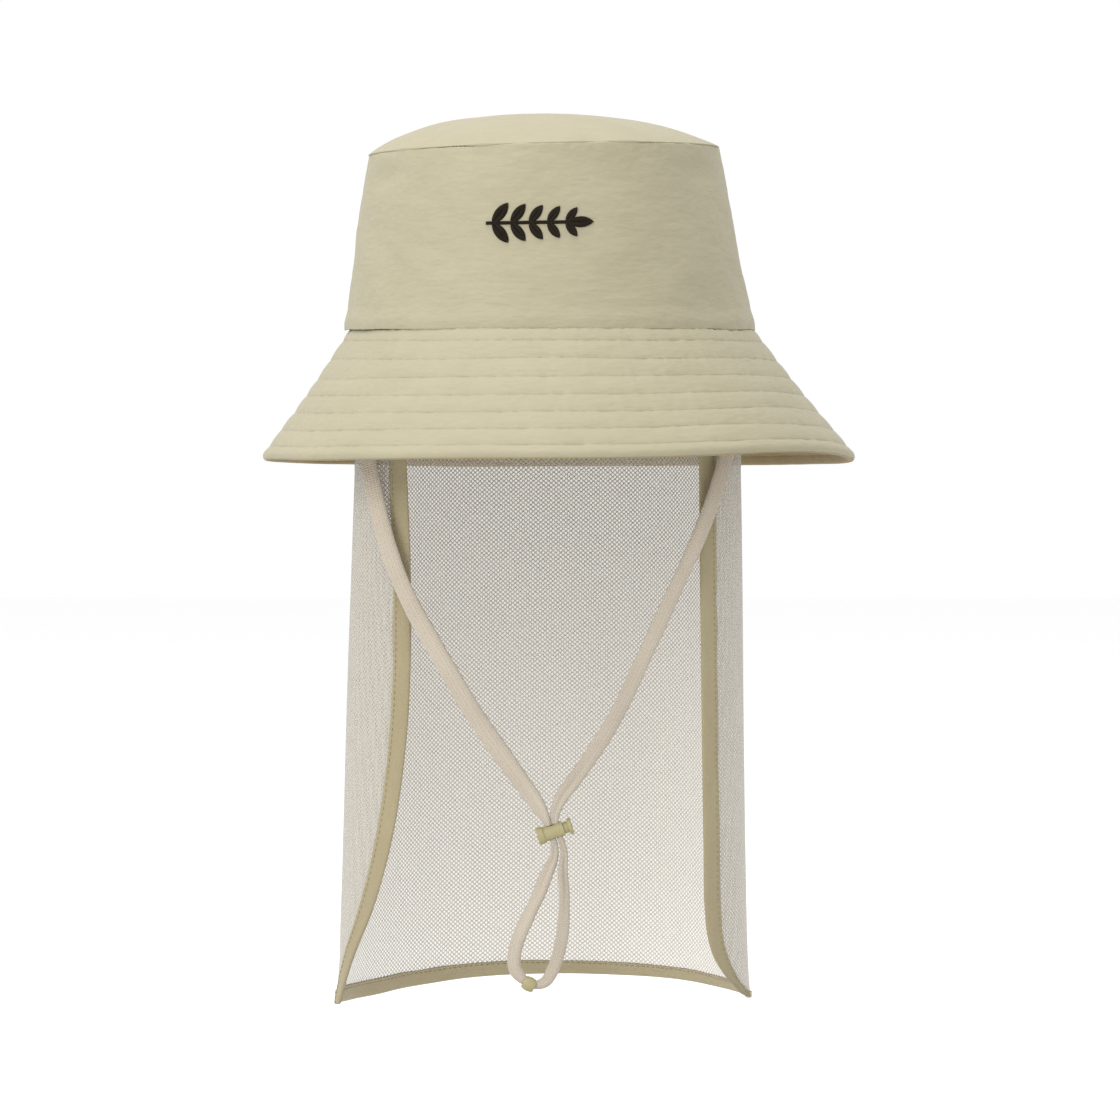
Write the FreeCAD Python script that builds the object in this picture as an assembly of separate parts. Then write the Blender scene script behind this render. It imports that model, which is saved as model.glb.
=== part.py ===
import FreeCAD, Part

import math
import os

from FreeCAD import Vector

# Bucket hat with a quilted brim, a mesh neck flap and a chin cord with a spring cord lock.
# Millimetres. The origin is the centre of the head opening, in the plane where the crown meets
# the brim; +Z goes up, the front of the hat faces -Y and the wearer's left side is at +X.

# --- Driving dimensions ------------------------------------------------------------------
OPENING_X = 89.0             # half widths of the crown's outside at the joint, for a 57 cm head
OPENING_Y = 98.0
CROWN_HEIGHT = 77.0          # joint to top seam
CROWN_TOP_X = 76.0           # half widths at the top seam
CROWN_TOP_Y = 84.5
CROWN_TOP_MIDDLE = -2.6      # the crown leans a little to the wearer's right
DOME_RISE = 15.8             # the top panel's height above its seam
DOME_POWER = 2.9             # flat middle
DOME_SHOULDER = 0.86         # round shoulder
CROWN_CLOTH = 0.6            # crown cloth with its interfacing
LAYER_GAP = 0.15             # air between two layers of cloth
LINING = 0.4
SWEATBAND_THICK = 1.0
SWEATBAND_LOW = 1.0
SWEATBAND_HIGH = 31.0

BRIM_X = 128.8               # half widths of the brim's edge
BRIM_Y = 137.5
BRIM_MIDDLE = 3.9            # the brim flares further out on the wearer's left
BRIM_DROP = 57.0             # joint to edge, at the sides
BRIM_TILT = -0.033           # the back of the edge hangs lower than the front
BRIM_CLOTH = 0.6
BRIM_STIFFENER = 1.0

FLAP_TOP = -3.0
FLAP_SHAPED = -60.0          # below this the flap's front corners curl inwards
FLAP_BOTTOM = -300.0         # the flap's walls end here before the hem line trims them
FLAP_CLOTH = 0.5
BINDING_THICK = 2.0
BINDING_FIT = 0.1            # air between the mesh and the binding folded round it
BINDING_BITE = 1.0           # how far the mesh stops short of the binding's outer fold
GROOVE_BITE = 0.8            # and the groove that holds it
HEADER_HEIGHT = 8.0
HEM_HEIGHT = 7.0
HEM_MIDDLE = -290.8          # hem line under the origin
HEM_TILT = -0.025            # the hem hangs lower at the back
BINDING_SEEN = 7.3           # a front binding's width seen from the front
BINDING_SEEN_LOW = 3.0       # and at the lower corner, where it has turned sideways

# A horizontal section of the flap: its middle, half widths of the rounded back, where the straight
# side ends, and the radius of the front corner.
FLAP_SECTIONS = (
    {"z": FLAP_TOP, "middle": 0.0, "x": 84.8, "y": 93.8, "side_end": -6.0, "corner": 81.5},
    {"z": FLAP_SHAPED, "middle": -1.0, "x": 83.6, "y": 92.2, "side_end": -34.0, "corner": 32.0},
    {"z": FLAP_BOTTOM, "middle": -2.8, "x": 89.6, "y": 90.0, "side_end": -30.0, "corner": 36.0},
)
FLAP_FRONT_CLOSE = 55.0      # the corner's arc runs on to here, inside the front opening

# The front opening's two edges, seen from the front: straight down, then sweeping outwards.
LEFT_EDGE = {"x": -60.5, "straight_to": -180.0, "sweep_x": -71.5, "sweep_z": -234.0,
             "corner_x": -88.5, "corner_z": -290.0}
RIGHT_EDGE = {"x": 63.8, "straight_to": -232.0, "sweep_x": 68.5, "sweep_z": -262.0,
              "corner_x": 82.0, "corner_z": -290.0}

# The flat 7 x 2 mm knitted cord is a round tube of the same section area.
CORD = 4.2
CORD_CORNER_SHARE = 0.45     # an arc takes up to this share of the shorter run beside it

# Chin cord, as points the strands go round.
LEFT_UPPER = [(-78.6, -45.3, -14.0), (-78.5, -54.5, -34.0), (-76.5, -61.5, -56.0),
              (-69.5, -68.0, -88.0), (-60.0, -71.5, -113.0), (-45.5, -74.0, -138.0),
              (-31.0, -75.5, -163.0), (-13.5, -76.0, -187.5)]
RIGHT_UPPER = [(79.0, -45.5, -14.0), (77.5, -54.5, -33.0), (75.0, -62.0, -54.0),
               (64.5, -69.0, -84.0), (51.0, -72.5, -113.0), (39.0, -74.5, -139.0),
               (28.0, -75.5, -163.0), (14.0, -76.0, -184.5)]
LEFT_LOWER = [(-0.8, -76.5, -227.5), (-5.0, -77.0, -238.5), (-10.0, -77.0, -248.5),
              (-13.8, -77.0, -257.5), (-15.2, -77.0, -264.5), (-14.2, -77.0, -270.6),
              (-9.3, -77.0, -274.7)]
RIGHT_LOWER = [(5.4, -76.5, -226.5), (6.3, -77.0, -238.0), (6.0, -77.0, -249.5),
               (4.6, -77.0, -259.5), (2.0, -77.0, -268.2), (-2.4, -77.0, -276.0),
               (-8.2, -77.0, -275.3)]
LOCK_RUN = 6.0               # straight run of a strand above the lock
LOCK_RUN_LOW = 5.5           # and below it
STRAND_GAP = 2.3             # half the spacing of the two strands at the lock
END_GAP = 0.1                # a strand's end face to the lock's waist

ANCHOR_WIDE = 10.0
ANCHOR_THICK = 3.0
ANCHOR_TALL = 5.2
ANCHOR_GAP = 1.1             # the strand leans, so its end face rises this far beside the tab

# Cord lock: its axis leans up to the right, and the strands cross it at right angles.
LOCK_CENTRE = Vector(2.1, -76.0, -210.7)
LOCK_LEAN = 18.0
BARREL_DIAMETER = 7.4
BARREL_WAIST = 6.4           # behind its closed end the barrel narrows a little
BARREL_LEFT = -7.5
BARREL_SHOULDER = -4.4
BARREL_RIGHT = 4.0
BARREL_ROUND = 0.7
BORE_DIAMETER = 5.1
BORE_END = -6.4
SLOT_LONG = 5.4
SLOT_WIDE = 3.4
SLOT_CENTRE = -0.6
PLUNGER_DIAMETER = 4.9
PLUNGER_END = -3.0
PLUNGER_TRAVEL = 1.8         # the plunger's own slot stands this far out until it is pressed
HEAD_DIAMETER = 7.2
HEAD_LEFT = 6.1
HEAD_RIGHT = 7.7
HEAD_HOLE = 3.0              # blind hole in the head
HEAD_HOLE_DEEP = 2.4
SPRING_DIAMETER = 3.6
SPRING_WIRE = 0.4
SPRING_TURNS = 3.0
SPRING_SEAT_GAP = 0.05

# The end bead is a short barrel threaded on the loop's lowest point, its bore tight on the cord.
BEAD_CENTRE = Vector(-8.6, -77.0, -275.0)
BEAD_DIAMETER = 6.2
BEAD_END_DIAMETER = 5.0
BEAD_BORE = 3.2
BEAD_LENGTH = 5.2
BEAD_LEAN = 26.0

# Embroidered sprig on the front: stem and paired leaves, seen from the front.
SPRIG_CENTRE = (-4.1, 44.0)
SPRIG_LENGTH = 45.0
SPRIG_LEAVES = 5
LEAF_LONG = 10.5
LEAF_WIDE = 4.6
LEAF_LEAN = 52.0
STEM_WIDE = 1.4
THREAD_THICK = 0.5

LABEL_WIDE = 28.0
LABEL_TALL = 18.0
LABEL_THICK = 0.4

FAR = 200.0                  # half size of the blocks that cut pieces apart


# --- Small helpers -----------------------------------------------------------------------
def save(shape, name):
    """Write one piece, after checking that it is one closed solid."""
    if len(shape.Solids) == 1:
        shape = shape.Solids[0]
    state = "ok" if shape.isValid() and len(shape.Solids) == 1 else "CHECK THIS PIECE"
    print(f"{name:26s} {shape.Volume:10.1f} mm3  {state}")
    shape.exportStep(f"parts/{name}.step")


def block(low, high):
    """Box between two corners."""
    size = [h - l for l, h in zip(low, high)]
    return Part.makeBox(*size, Vector(*low))


def ellipse_wire(middle, half_x, half_y, z, tilt=0.0):
    """Ellipse longer in Y, tilted about the X axis."""
    centre = Vector(middle, 0, z)
    curve = Part.Ellipse(centre + Vector(0, half_y, tilt * half_y), centre + Vector(half_x, 0, 0), centre)
    return Part.Wire(curve.toShape())


def oval_wall(low, high, outside, inside):
    """Wall between two offsets of a ruled oval surface; low and high are (middle, x, y, z, tilt)."""
    bodies = []
    for offset in (outside, inside):
        wires = [
            ellipse_wire(middle, x + offset, y + offset, z, tilt) for middle, x, y, z, tilt in (low, high)
        ]
        bodies.append(Part.makeLoft(wires, True, True))
    return bodies[0].cut(bodies[1])


def rotate_to_lock(shape):
    """Place a piece drawn about the lock's own centre, with the lock's axis along X."""
    shape = shape.copy()
    shape.rotate(Vector(0, 0, 0), Vector(0, 1, 0), -LOCK_LEAN)
    shape.translate(LOCK_CENTRE)
    return shape


def lock_point(along, across):
    """Point in the lock's plane: along its axis, and across it the way the strands run."""
    lean = math.radians(LOCK_LEAN)
    return LOCK_CENTRE + Vector(
        along * math.cos(lean) - across * math.sin(lean), 0, along * math.sin(lean) + across * math.cos(lean)
    )


# --- Crown -------------------------------------------------------------------------------
def crown_oval(z):
    """Middle and half widths of the crown's outside at a height above the joint."""
    share = z / CROWN_HEIGHT
    return (
        CROWN_TOP_MIDDLE * share,
        OPENING_X + (CROWN_TOP_X - OPENING_X) * share,
        OPENING_Y + (CROWN_TOP_Y - OPENING_Y) * share,
    )


def crown_wall(z_low, z_high, outside, inside):
    """Oval wall that follows the crown's side between two heights."""
    ends = [(*crown_oval(z), z, 0.0) for z in (z_low, z_high)]
    return oval_wall(ends[0], ends[1], outside, inside)


def dome_cap(radius, rise, z_base):
    """Solid cap under a round dome of the top panel's profile."""
    shares = (0.0, 0.25, 0.45, 0.62, 0.78, 0.9, 1.0)
    heights = [rise * (1 - s**DOME_POWER) ** DOME_SHOULDER for s in shares]
    profile = [Vector(radius * s, 0, z_base + height) for s, height in zip(shares, heights)]
    curve = Part.BSplineCurve()
    curve.interpolate(profile)
    edges = [
        curve.toShape(),
        Part.LineSegment(profile[-1], Vector(0, 0, z_base)).toShape(),
        Part.LineSegment(Vector(0, 0, z_base), profile[0]).toShape(),
    ]
    return Part.Face(Part.Wire(edges)).revolve(Vector(0, 0, 0), Vector(0, 0, 1), 360)


def dome_panel(inset, thickness, z_base):
    """Domed cloth, inset from the crown's outside and stretched to its oval."""
    radius = CROWN_TOP_X - inset
    rise = DOME_RISE - inset
    cap = dome_cap(radius, rise, z_base).cut(dome_cap(radius - 1.6 * thickness, rise - thickness, z_base))
    stretch = FreeCAD.Matrix()
    stretch.scale(1.0, CROWN_TOP_Y / CROWN_TOP_X, 1.0)
    stretch.move(Vector(CROWN_TOP_MIDDLE, 0, 0))
    return cap.transformGeometry(stretch)


def build_crown():
    front = block((-FAR, -FAR, -FAR), (FAR, 0, FAR))
    back = block((-FAR, 0, -FAR), (FAR, FAR, FAR))
    wall = crown_wall(0.0, CROWN_HEIGHT, 0.0, -CROWN_CLOTH)
    save(wall.common(front), "crown_front_panel")
    save(wall.common(back), "crown_back_panel")
    save(dome_panel(0.0, CROWN_CLOTH, CROWN_HEIGHT), "crown_top_panel")
    lining = CROWN_CLOTH + LAYER_GAP
    save(crown_wall(0.0, CROWN_HEIGHT, -lining, -lining - LINING), "crown_lining_side")
    save(dome_panel(lining + LINING, LINING, CROWN_HEIGHT), "crown_lining_top")
    band = lining + LINING + LAYER_GAP
    save(
        crown_wall(SWEATBAND_LOW, SWEATBAND_HIGH, -band, -band - SWEATBAND_THICK),
        "sweatband",
    )
    z_low = SWEATBAND_LOW + 2.0
    middle, half_x, half_y = crown_oval(z_low + LABEL_TALL)
    wall = band + SWEATBAND_THICK + LAYER_GAP
    reach = LABEL_WIDE / 2 + abs(middle)
    face = (half_y - wall) * math.sqrt(1 - (reach / (half_x - wall)) ** 2)
    save(
        block((-LABEL_WIDE / 2, face - LABEL_THICK, z_low), (LABEL_WIDE / 2, face, z_low + LABEL_TALL)),
        "care_label",
    )


# --- Brim --------------------------------------------------------------------------------
def brim_wall(outside, inside):
    """Oval cone of the brim between two offsets from its upper surface."""
    top = (0.0, OPENING_X, OPENING_Y, -LAYER_GAP, 0.0)
    edge = (BRIM_MIDDLE, BRIM_X, BRIM_Y, -BRIM_DROP, BRIM_TILT)
    return oval_wall(edge, top, -outside, -inside)


def build_brim():
    slope = math.atan2(BRIM_DROP, BRIM_X - OPENING_X)
    per_layer = 1.0 / math.sin(slope)
    upper = BRIM_CLOTH * per_layer
    stiff_from = upper + LAYER_GAP
    stiff_to = stiff_from + BRIM_STIFFENER * per_layer
    lower_from = stiff_to + LAYER_GAP
    front = block((-FAR, -FAR, -FAR), (FAR, 0, FAR))
    back = block((-FAR, 0, -FAR), (FAR, FAR, FAR))
    for name, wall in (
        ("brim_upper", brim_wall(0.0, upper)),
        ("brim_lower", brim_wall(lower_from, lower_from + upper)),
    ):
        save(wall.common(front), f"{name}_front")
        save(wall.common(back), f"{name}_back")
    save(brim_wall(stiff_from, stiff_to), "brim_interlining")


# --- Neck flap ---------------------------------------------------------------------------
def flap_outline(section, offset):
    """Closed outline of the flap: oval back, straight sides, round corners, closed at the front."""
    z = section["z"]
    half_x = section["x"] + offset
    half_y = section["y"] + offset
    radius = section["corner"] + offset
    side_end = section["side_end"]
    middle = section["middle"]
    centre_x = section["x"] - section["corner"]
    close = math.acos((FLAP_FRONT_CLOSE - centre_x) / section["corner"])

    def corner_point(angle, side):
        x = centre_x + radius * math.cos(angle)
        return Vector(middle + side * x, side_end - radius * math.sin(angle), z)

    edges = []
    sides = {side: Vector(middle + side * half_x, 0, z) for side in (1, -1)}
    back = Vector(middle, half_y, z)
    for side in (1, -1):
        turn = math.pi / 4
        between = Vector(middle + side * half_x * math.cos(turn), half_y * math.sin(turn), z)
        edges.append(Part.Arc(sides[side], between, back).toShape())
        edges.append(Part.LineSegment(sides[side], corner_point(0.0, side)).toShape())
        points = [corner_point(close * share, side) for share in (0.0, 0.5, 1.0)]
        edges.append(Part.Arc(*points).toShape())
    edges.append(Part.LineSegment(corner_point(close, 1), corner_point(close, -1)).toShape())
    return Part.Wire(Part.sortEdges(edges)[0])


def flap_wall(half_thickness):
    """Wall of the flap all the way down, still closed at the front."""
    bodies = []
    for offset in (half_thickness, -half_thickness):
        outlines = [flap_outline(section, offset) for section in FLAP_SECTIONS]
        steps = [Part.makeLoft(list(pair), True, True) for pair in zip(outlines, outlines[1:])]
        bodies.append(steps[0].fuse(steps[1]))
    return bodies[0].cut(bodies[1])


def edge_line(edge, shift, shift_low):
    """One edge of the front opening in the front view, shifted in X, from the top down."""
    top = Vector(edge["x"] + shift, 0, 20)
    knee = Vector(edge["x"] + shift, 0, edge["straight_to"])
    sweep = Vector(edge["sweep_x"] + (shift + shift_low) / 2, 0, edge["sweep_z"])
    corner = Vector(edge["corner_x"] + shift_low, 0, edge["corner_z"])
    return [Part.LineSegment(top, knee).toShape(), Part.Arc(knee, sweep, corner).toShape()], top, corner


def front_prism(left_line, right_line):
    """Block in front of the hat between two edge lines, from the middle of the sides forwards."""
    left_edges, left_top, left_low = left_line
    right_edges, right_top, right_low = right_line
    bottom = [
        Part.LineSegment(left_low, right_low).toShape(),
        Part.LineSegment(right_top, left_top).toShape(),
    ]
    outline = Part.Wire(Part.sortEdges(left_edges + right_edges + bottom)[0])
    return Part.Face(outline).extrude(Vector(0, -FAR, 0))


def below_hem(raise_by):
    """Everything under the hem line, raised by some millimetres."""
    rear = FAR
    points = [
        Vector(-FAR, -rear, HEM_MIDDLE + raise_by - HEM_TILT * rear),
        Vector(-FAR, rear, HEM_MIDDLE + raise_by + HEM_TILT * rear),
        Vector(-FAR, rear, -2 * FAR),
        Vector(-FAR, -rear, -2 * FAR),
        Vector(-FAR, -rear, HEM_MIDDLE + raise_by - HEM_TILT * rear),
    ]
    return Part.Face(Part.makePolygon(points)).extrude(Vector(2 * FAR, 0, 0))


def build_flap():
    mesh_wall = flap_wall(FLAP_CLOTH / 2)
    thick_wall = flap_wall(BINDING_THICK / 2)
    groove_wall = flap_wall(FLAP_CLOTH / 2 + BINDING_FIT)
    left_edge = edge_line(LEFT_EDGE, 0.0, 0.0)
    right_edge = edge_line(RIGHT_EDGE, 0.0, 0.0)
    opening = front_prism(left_edge, right_edge)
    left_strip = front_prism(edge_line(LEFT_EDGE, -BINDING_SEEN, -BINDING_SEEN_LOW), left_edge)
    right_strip = front_prism(right_edge, edge_line(RIGHT_EDGE, BINDING_SEEN, BINDING_SEEN_LOW))
    mesh_opening, groove_opening = (
        front_prism(edge_line(LEFT_EDGE, -bite, -bite), edge_line(RIGHT_EDGE, bite, bite))
        for bite in (BINDING_BITE, GROOVE_BITE)
    )
    hem_cut = below_hem(0.0)
    top_cut = block((-FAR, -FAR, FLAP_TOP - BINDING_BITE), (FAR, FAR, FAR))

    mesh = mesh_wall.cut(mesh_opening).cut(below_hem(BINDING_BITE)).cut(top_cut)
    save(mesh, "flap_mesh_panel")

    groove = groove_wall.cut(groove_opening).cut(below_hem(GROOVE_BITE))
    groove = groove.cut(block((-FAR, -FAR, FLAP_TOP - GROOVE_BITE), (FAR, FAR, FAR)))
    folded = thick_wall.cut(groove).cut(hem_cut).cut(opening)
    left = folded.common(left_strip)
    right = folded.common(right_strip)
    save(left, "flap_binding_left")
    save(right, "flap_binding_right")
    rest = folded.cut(left_strip).cut(right_strip)
    save(rest.common(below_hem(HEM_HEIGHT)), "flap_hem_binding")
    header_zone = block((-FAR, -FAR, FLAP_TOP - HEADER_HEIGHT), (FAR, FAR, FAR))
    save(rest.common(header_zone), "flap_header_tape")


# --- Chin cord ---------------------------------------------------------------------------
def cord_tube(points, name):
    """Round tube along straight runs joined by arcs as large as the runs allow."""
    points = [Vector(*point) for point in points]
    edges = []
    start = points[0]
    radii = []
    for before, corner, after in zip(points, points[1:], points[2:]):
        back = (before - corner).normalize()
        ahead = (after - corner).normalize()
        half_turn = (math.pi - back.getAngle(ahead)) / 2
        cut = CORD_CORNER_SHARE * min(before.distanceToPoint(corner), after.distanceToPoint(corner))
        radius = cut / math.tan(half_turn)
        radii.append(radius)
        first = corner + back * cut
        last = corner + ahead * cut
        centre = corner + (back + ahead).normalize() * math.hypot(cut, radius)
        middle = centre + (corner - centre).normalize() * radius
        edges.append(Part.LineSegment(start, first).toShape())
        edges.append(Part.Arc(first, middle, last).toShape())
        start = last
    edges.append(Part.LineSegment(start, points[-1]).toShape())
    length = sum(edge.Length for edge in edges)
    heading = points[1] - points[0]
    section = Part.Wire(Part.makeCircle(CORD / 2, points[0], heading))
    tube = Part.Wire(edges).makePipeShell([section], True, False)
    expected = math.pi * CORD**2 / 4 * length
    print(
        f"{name}: length {length:.1f}, radii {[round(r, 1) for r in radii]},"
        f" volume share {tube.Volume / expected:.3f}"
    )
    return tube


def build_cord():
    reach = BARREL_WAIST / 2 + END_GAP
    side_left = lock_point(-STRAND_GAP, reach)
    side_right = lock_point(STRAND_GAP, reach)
    low_left = lock_point(-STRAND_GAP, -reach)
    low_right = lock_point(STRAND_GAP, -reach)
    routes = {
        "chin_cord_left_upper": LEFT_UPPER + [lock_point(-STRAND_GAP, reach + LOCK_RUN), side_left],
        "chin_cord_right_upper": RIGHT_UPPER + [lock_point(STRAND_GAP, reach + LOCK_RUN), side_right],
        "chin_cord_left_lower": [low_left, lock_point(-STRAND_GAP, -reach - LOCK_RUN_LOW)] + LEFT_LOWER,
        "chin_cord_right_lower": [low_right, lock_point(STRAND_GAP, -reach - LOCK_RUN_LOW)] + RIGHT_LOWER,
    }
    for name, route in routes.items():
        save(cord_tube(route, name), name)

    for side, top in (("left", LEFT_UPPER[0]), ("right", RIGHT_UPPER[0])):
        tab = block(
            (-ANCHOR_WIDE / 2, -ANCHOR_THICK / 2, ANCHOR_GAP),
            (ANCHOR_WIDE / 2, ANCHOR_THICK / 2, ANCHOR_GAP + ANCHOR_TALL),
        )
        facing = math.degrees(math.atan2(top[1] * OPENING_X**2, top[0] * OPENING_Y**2))
        tab.rotate(Vector(0, 0, 0), Vector(0, 0, 1), facing + 90)
        tab.translate(Vector(*top))
        save(tab, f"cord_anchor_{side}")

    half = BEAD_LENGTH / 2
    end = BEAD_END_DIAMETER / 2
    bore = BEAD_BORE / 2
    edges = [
        Part.LineSegment(Vector(bore, 0, -half), Vector(end, 0, -half)).toShape(),
        Part.Arc(Vector(end, 0, -half), Vector(BEAD_DIAMETER / 2, 0, 0), Vector(end, 0, half)).toShape(),
        Part.LineSegment(Vector(end, 0, half), Vector(bore, 0, half)).toShape(),
        Part.LineSegment(Vector(bore, 0, half), Vector(bore, 0, -half)).toShape(),
    ]
    bead = Part.Face(Part.Wire(edges)).revolve(Vector(0, 0, 0), Vector(0, 0, 1), 360)
    bead.rotate(Vector(0, 0, 0), Vector(0, 1, 0), 90 + BEAD_LEAN)
    bead.translate(BEAD_CENTRE)
    save(bead, "cord_end_bead")


# --- Cord lock ---------------------------------------------------------------------------
def rod(diameter, start, end):
    """Cylinder along the lock's axis."""
    return Part.makeCylinder(diameter / 2, end - start, Vector(start, 0, 0), Vector(1, 0, 0))


def cross_slot(centre):
    """Round-ended slot through the lock, the way the strands run."""
    straight = (SLOT_LONG - SLOT_WIDE) / 2
    tall = BARREL_DIAMETER
    slot = block((centre - straight, -SLOT_WIDE / 2, -tall), (centre + straight, SLOT_WIDE / 2, tall))
    for end in (-straight, straight):
        slot = slot.fuse(Part.makeCylinder(SLOT_WIDE / 2, 2 * tall, Vector(centre + end, 0, -tall)))
    return slot


def build_lock():
    end_cap = rod(BARREL_DIAMETER, BARREL_LEFT, BARREL_SHOULDER)
    rims = [edge for edge in end_cap.Edges if isinstance(edge.Curve, Part.Circle)]
    end_cap = end_cap.makeFillet(BARREL_ROUND, rims)
    barrel = end_cap.fuse(rod(BARREL_WAIST, BARREL_SHOULDER - BARREL_ROUND, BARREL_RIGHT))
    barrel = barrel.cut(rod(BORE_DIAMETER, BORE_END, BARREL_RIGHT + 1)).cut(cross_slot(SLOT_CENTRE))
    save(rotate_to_lock(barrel), "lock_barrel")

    head = rod(HEAD_DIAMETER, HEAD_LEFT, HEAD_RIGHT)
    rims = [edge for edge in head.Edges if isinstance(edge.Curve, Part.Circle)]
    head = head.makeFillet(BARREL_ROUND * 0.7, rims)
    plunger = rod(PLUNGER_DIAMETER, PLUNGER_END, HEAD_LEFT + BARREL_ROUND).fuse(head)
    plunger = plunger.cut(cross_slot(SLOT_CENTRE + PLUNGER_TRAVEL))
    plunger = plunger.cut(rod(HEAD_HOLE, HEAD_RIGHT - HEAD_HOLE_DEEP, HEAD_RIGHT + 1))
    save(rotate_to_lock(plunger), "lock_plunger")

    spring_start = BORE_END + SPRING_WIRE / 2 + SPRING_SEAT_GAP
    spring_end = PLUNGER_END - SPRING_WIRE / 2 - SPRING_SEAT_GAP
    height = spring_end - spring_start
    radius = (SPRING_DIAMETER - SPRING_WIRE) / 2
    helix = Part.makeHelix(height / SPRING_TURNS, height, radius)
    profile = Part.Wire(Part.makeCircle(SPRING_WIRE / 2, Vector(radius, 0, 0), Vector(0, 1, 0)))
    coil = Part.Wire(helix.Edges).makePipeShell([profile], True, True)
    coil.rotate(Vector(0, 0, 0), Vector(0, 1, 0), 90)
    coil.translate(Vector(spring_start, 0, 0))
    save(rotate_to_lock(coil), "lock_spring")


# --- Embroidery --------------------------------------------------------------------------
def leaf_outline(root, angle, length, width):
    """Leaf of two arcs from its root, drawn in the front view."""
    ahead = Vector(math.cos(angle), 0, math.sin(angle))
    side = Vector(-math.sin(angle), 0, math.cos(angle))
    tip = root + ahead * length
    middle = root + ahead * (length / 2)
    edges = [
        Part.Arc(root, middle + side * (width / 2), tip).toShape(),
        Part.Arc(tip, middle - side * (width / 2), root).toShape(),
    ]
    return Part.Face(Part.Wire(edges))


def build_embroidery():
    centre = Vector(SPRIG_CENTRE[0], 0, SPRIG_CENTRE[1])
    start = centre + Vector(-SPRIG_LENGTH / 2, 0, 0)
    stem_end = centre + Vector(SPRIG_LENGTH / 2 - LEAF_LONG, 0, 0)
    stem = block((start.x, -1, start.z - STEM_WIDE / 2), (stem_end.x + 1, 0, start.z + STEM_WIDE / 2))
    motif = stem
    spacing = (stem_end.x - start.x - 4.0) / (SPRIG_LEAVES - 1)
    for number in range(SPRIG_LEAVES):
        root = Vector(start.x + 3.0 + number * spacing, 0, centre.z)
        size = 1.0 - 0.07 * number
        for side in (1, -1):
            leaf = leaf_outline(root, side * math.radians(LEAF_LEAN), LEAF_LONG * size, LEAF_WIDE * size)
            motif = motif.fuse(leaf.extrude(Vector(0, -1, 0)))
    tip = leaf_outline(stem_end, 0.0, LEAF_LONG, LEAF_WIDE)
    motif = motif.fuse(tip.extrude(Vector(0, -1, 0)))
    deep = FreeCAD.Matrix()
    deep.scale(1.0, FAR, 1.0)
    raised = crown_wall(0.0, CROWN_HEIGHT, THREAD_THICK + 0.02, 0.02)
    save(raised.common(motif.transformGeometry(deep)), "front_embroidery")


os.makedirs("parts", exist_ok=True)
build_crown()
build_brim()
build_flap()
build_cord()
build_lock()
build_embroidery()
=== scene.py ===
import math

import bpy
import numpy as np
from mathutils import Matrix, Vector


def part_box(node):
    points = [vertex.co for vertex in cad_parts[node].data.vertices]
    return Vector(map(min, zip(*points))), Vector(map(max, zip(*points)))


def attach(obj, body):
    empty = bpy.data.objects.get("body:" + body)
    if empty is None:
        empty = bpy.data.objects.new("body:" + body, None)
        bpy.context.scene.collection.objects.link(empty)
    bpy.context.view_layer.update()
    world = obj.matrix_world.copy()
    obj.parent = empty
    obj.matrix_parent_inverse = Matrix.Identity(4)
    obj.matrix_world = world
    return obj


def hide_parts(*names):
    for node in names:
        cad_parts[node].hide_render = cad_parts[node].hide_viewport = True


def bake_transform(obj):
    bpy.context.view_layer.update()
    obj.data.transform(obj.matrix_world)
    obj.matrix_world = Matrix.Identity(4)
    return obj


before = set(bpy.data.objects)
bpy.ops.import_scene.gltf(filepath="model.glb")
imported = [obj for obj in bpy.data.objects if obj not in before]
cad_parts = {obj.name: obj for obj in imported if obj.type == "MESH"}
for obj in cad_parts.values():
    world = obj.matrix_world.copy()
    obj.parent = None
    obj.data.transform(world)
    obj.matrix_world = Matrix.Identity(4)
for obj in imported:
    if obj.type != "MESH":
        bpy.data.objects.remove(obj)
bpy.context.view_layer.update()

# A bucket hat with a quilted brim, a mesh neck flap and a chin cord. Lengths are millimetres in
# the numbers and arrays below, and turn into metres where a mesh or a light is made.
MM = 0.001


def box_mm(node):
    """Lowest and highest corner of a CAD node, in millimetres."""
    low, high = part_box(node)
    return np.array(low) / MM, np.array(high) / MM


# --- Sizes read from the frame -----------------------------------------------------------
crown_high = box_mm("crown_back_panel")[1]
dome_low, dome_high = box_mm("crown_top_panel")
brim_low, brim_high = box_mm("brim_upper_back")
brim_front_low = box_mm("brim_upper_front")[0]
flap_high = box_mm("flap_mesh_panel")[1]

OPENING = np.array([crown_high[0], crown_high[1]])
CROWN_HEIGHT = crown_high[2]
CROWN_TOP = (dome_high[:2] - dome_low[:2]) / 2
CROWN_TOP_MIDDLE = (dome_high[0] + dome_low[0]) / 2
DOME_RISE = dome_high[2] - dome_low[2]
BRIM_EDGE = np.array([(brim_high[0] - brim_low[0]) / 2, brim_high[1]])
BRIM_MIDDLE = (brim_high[0] + brim_low[0]) / 2
FLAP_TOP = flap_high[2]

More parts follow.
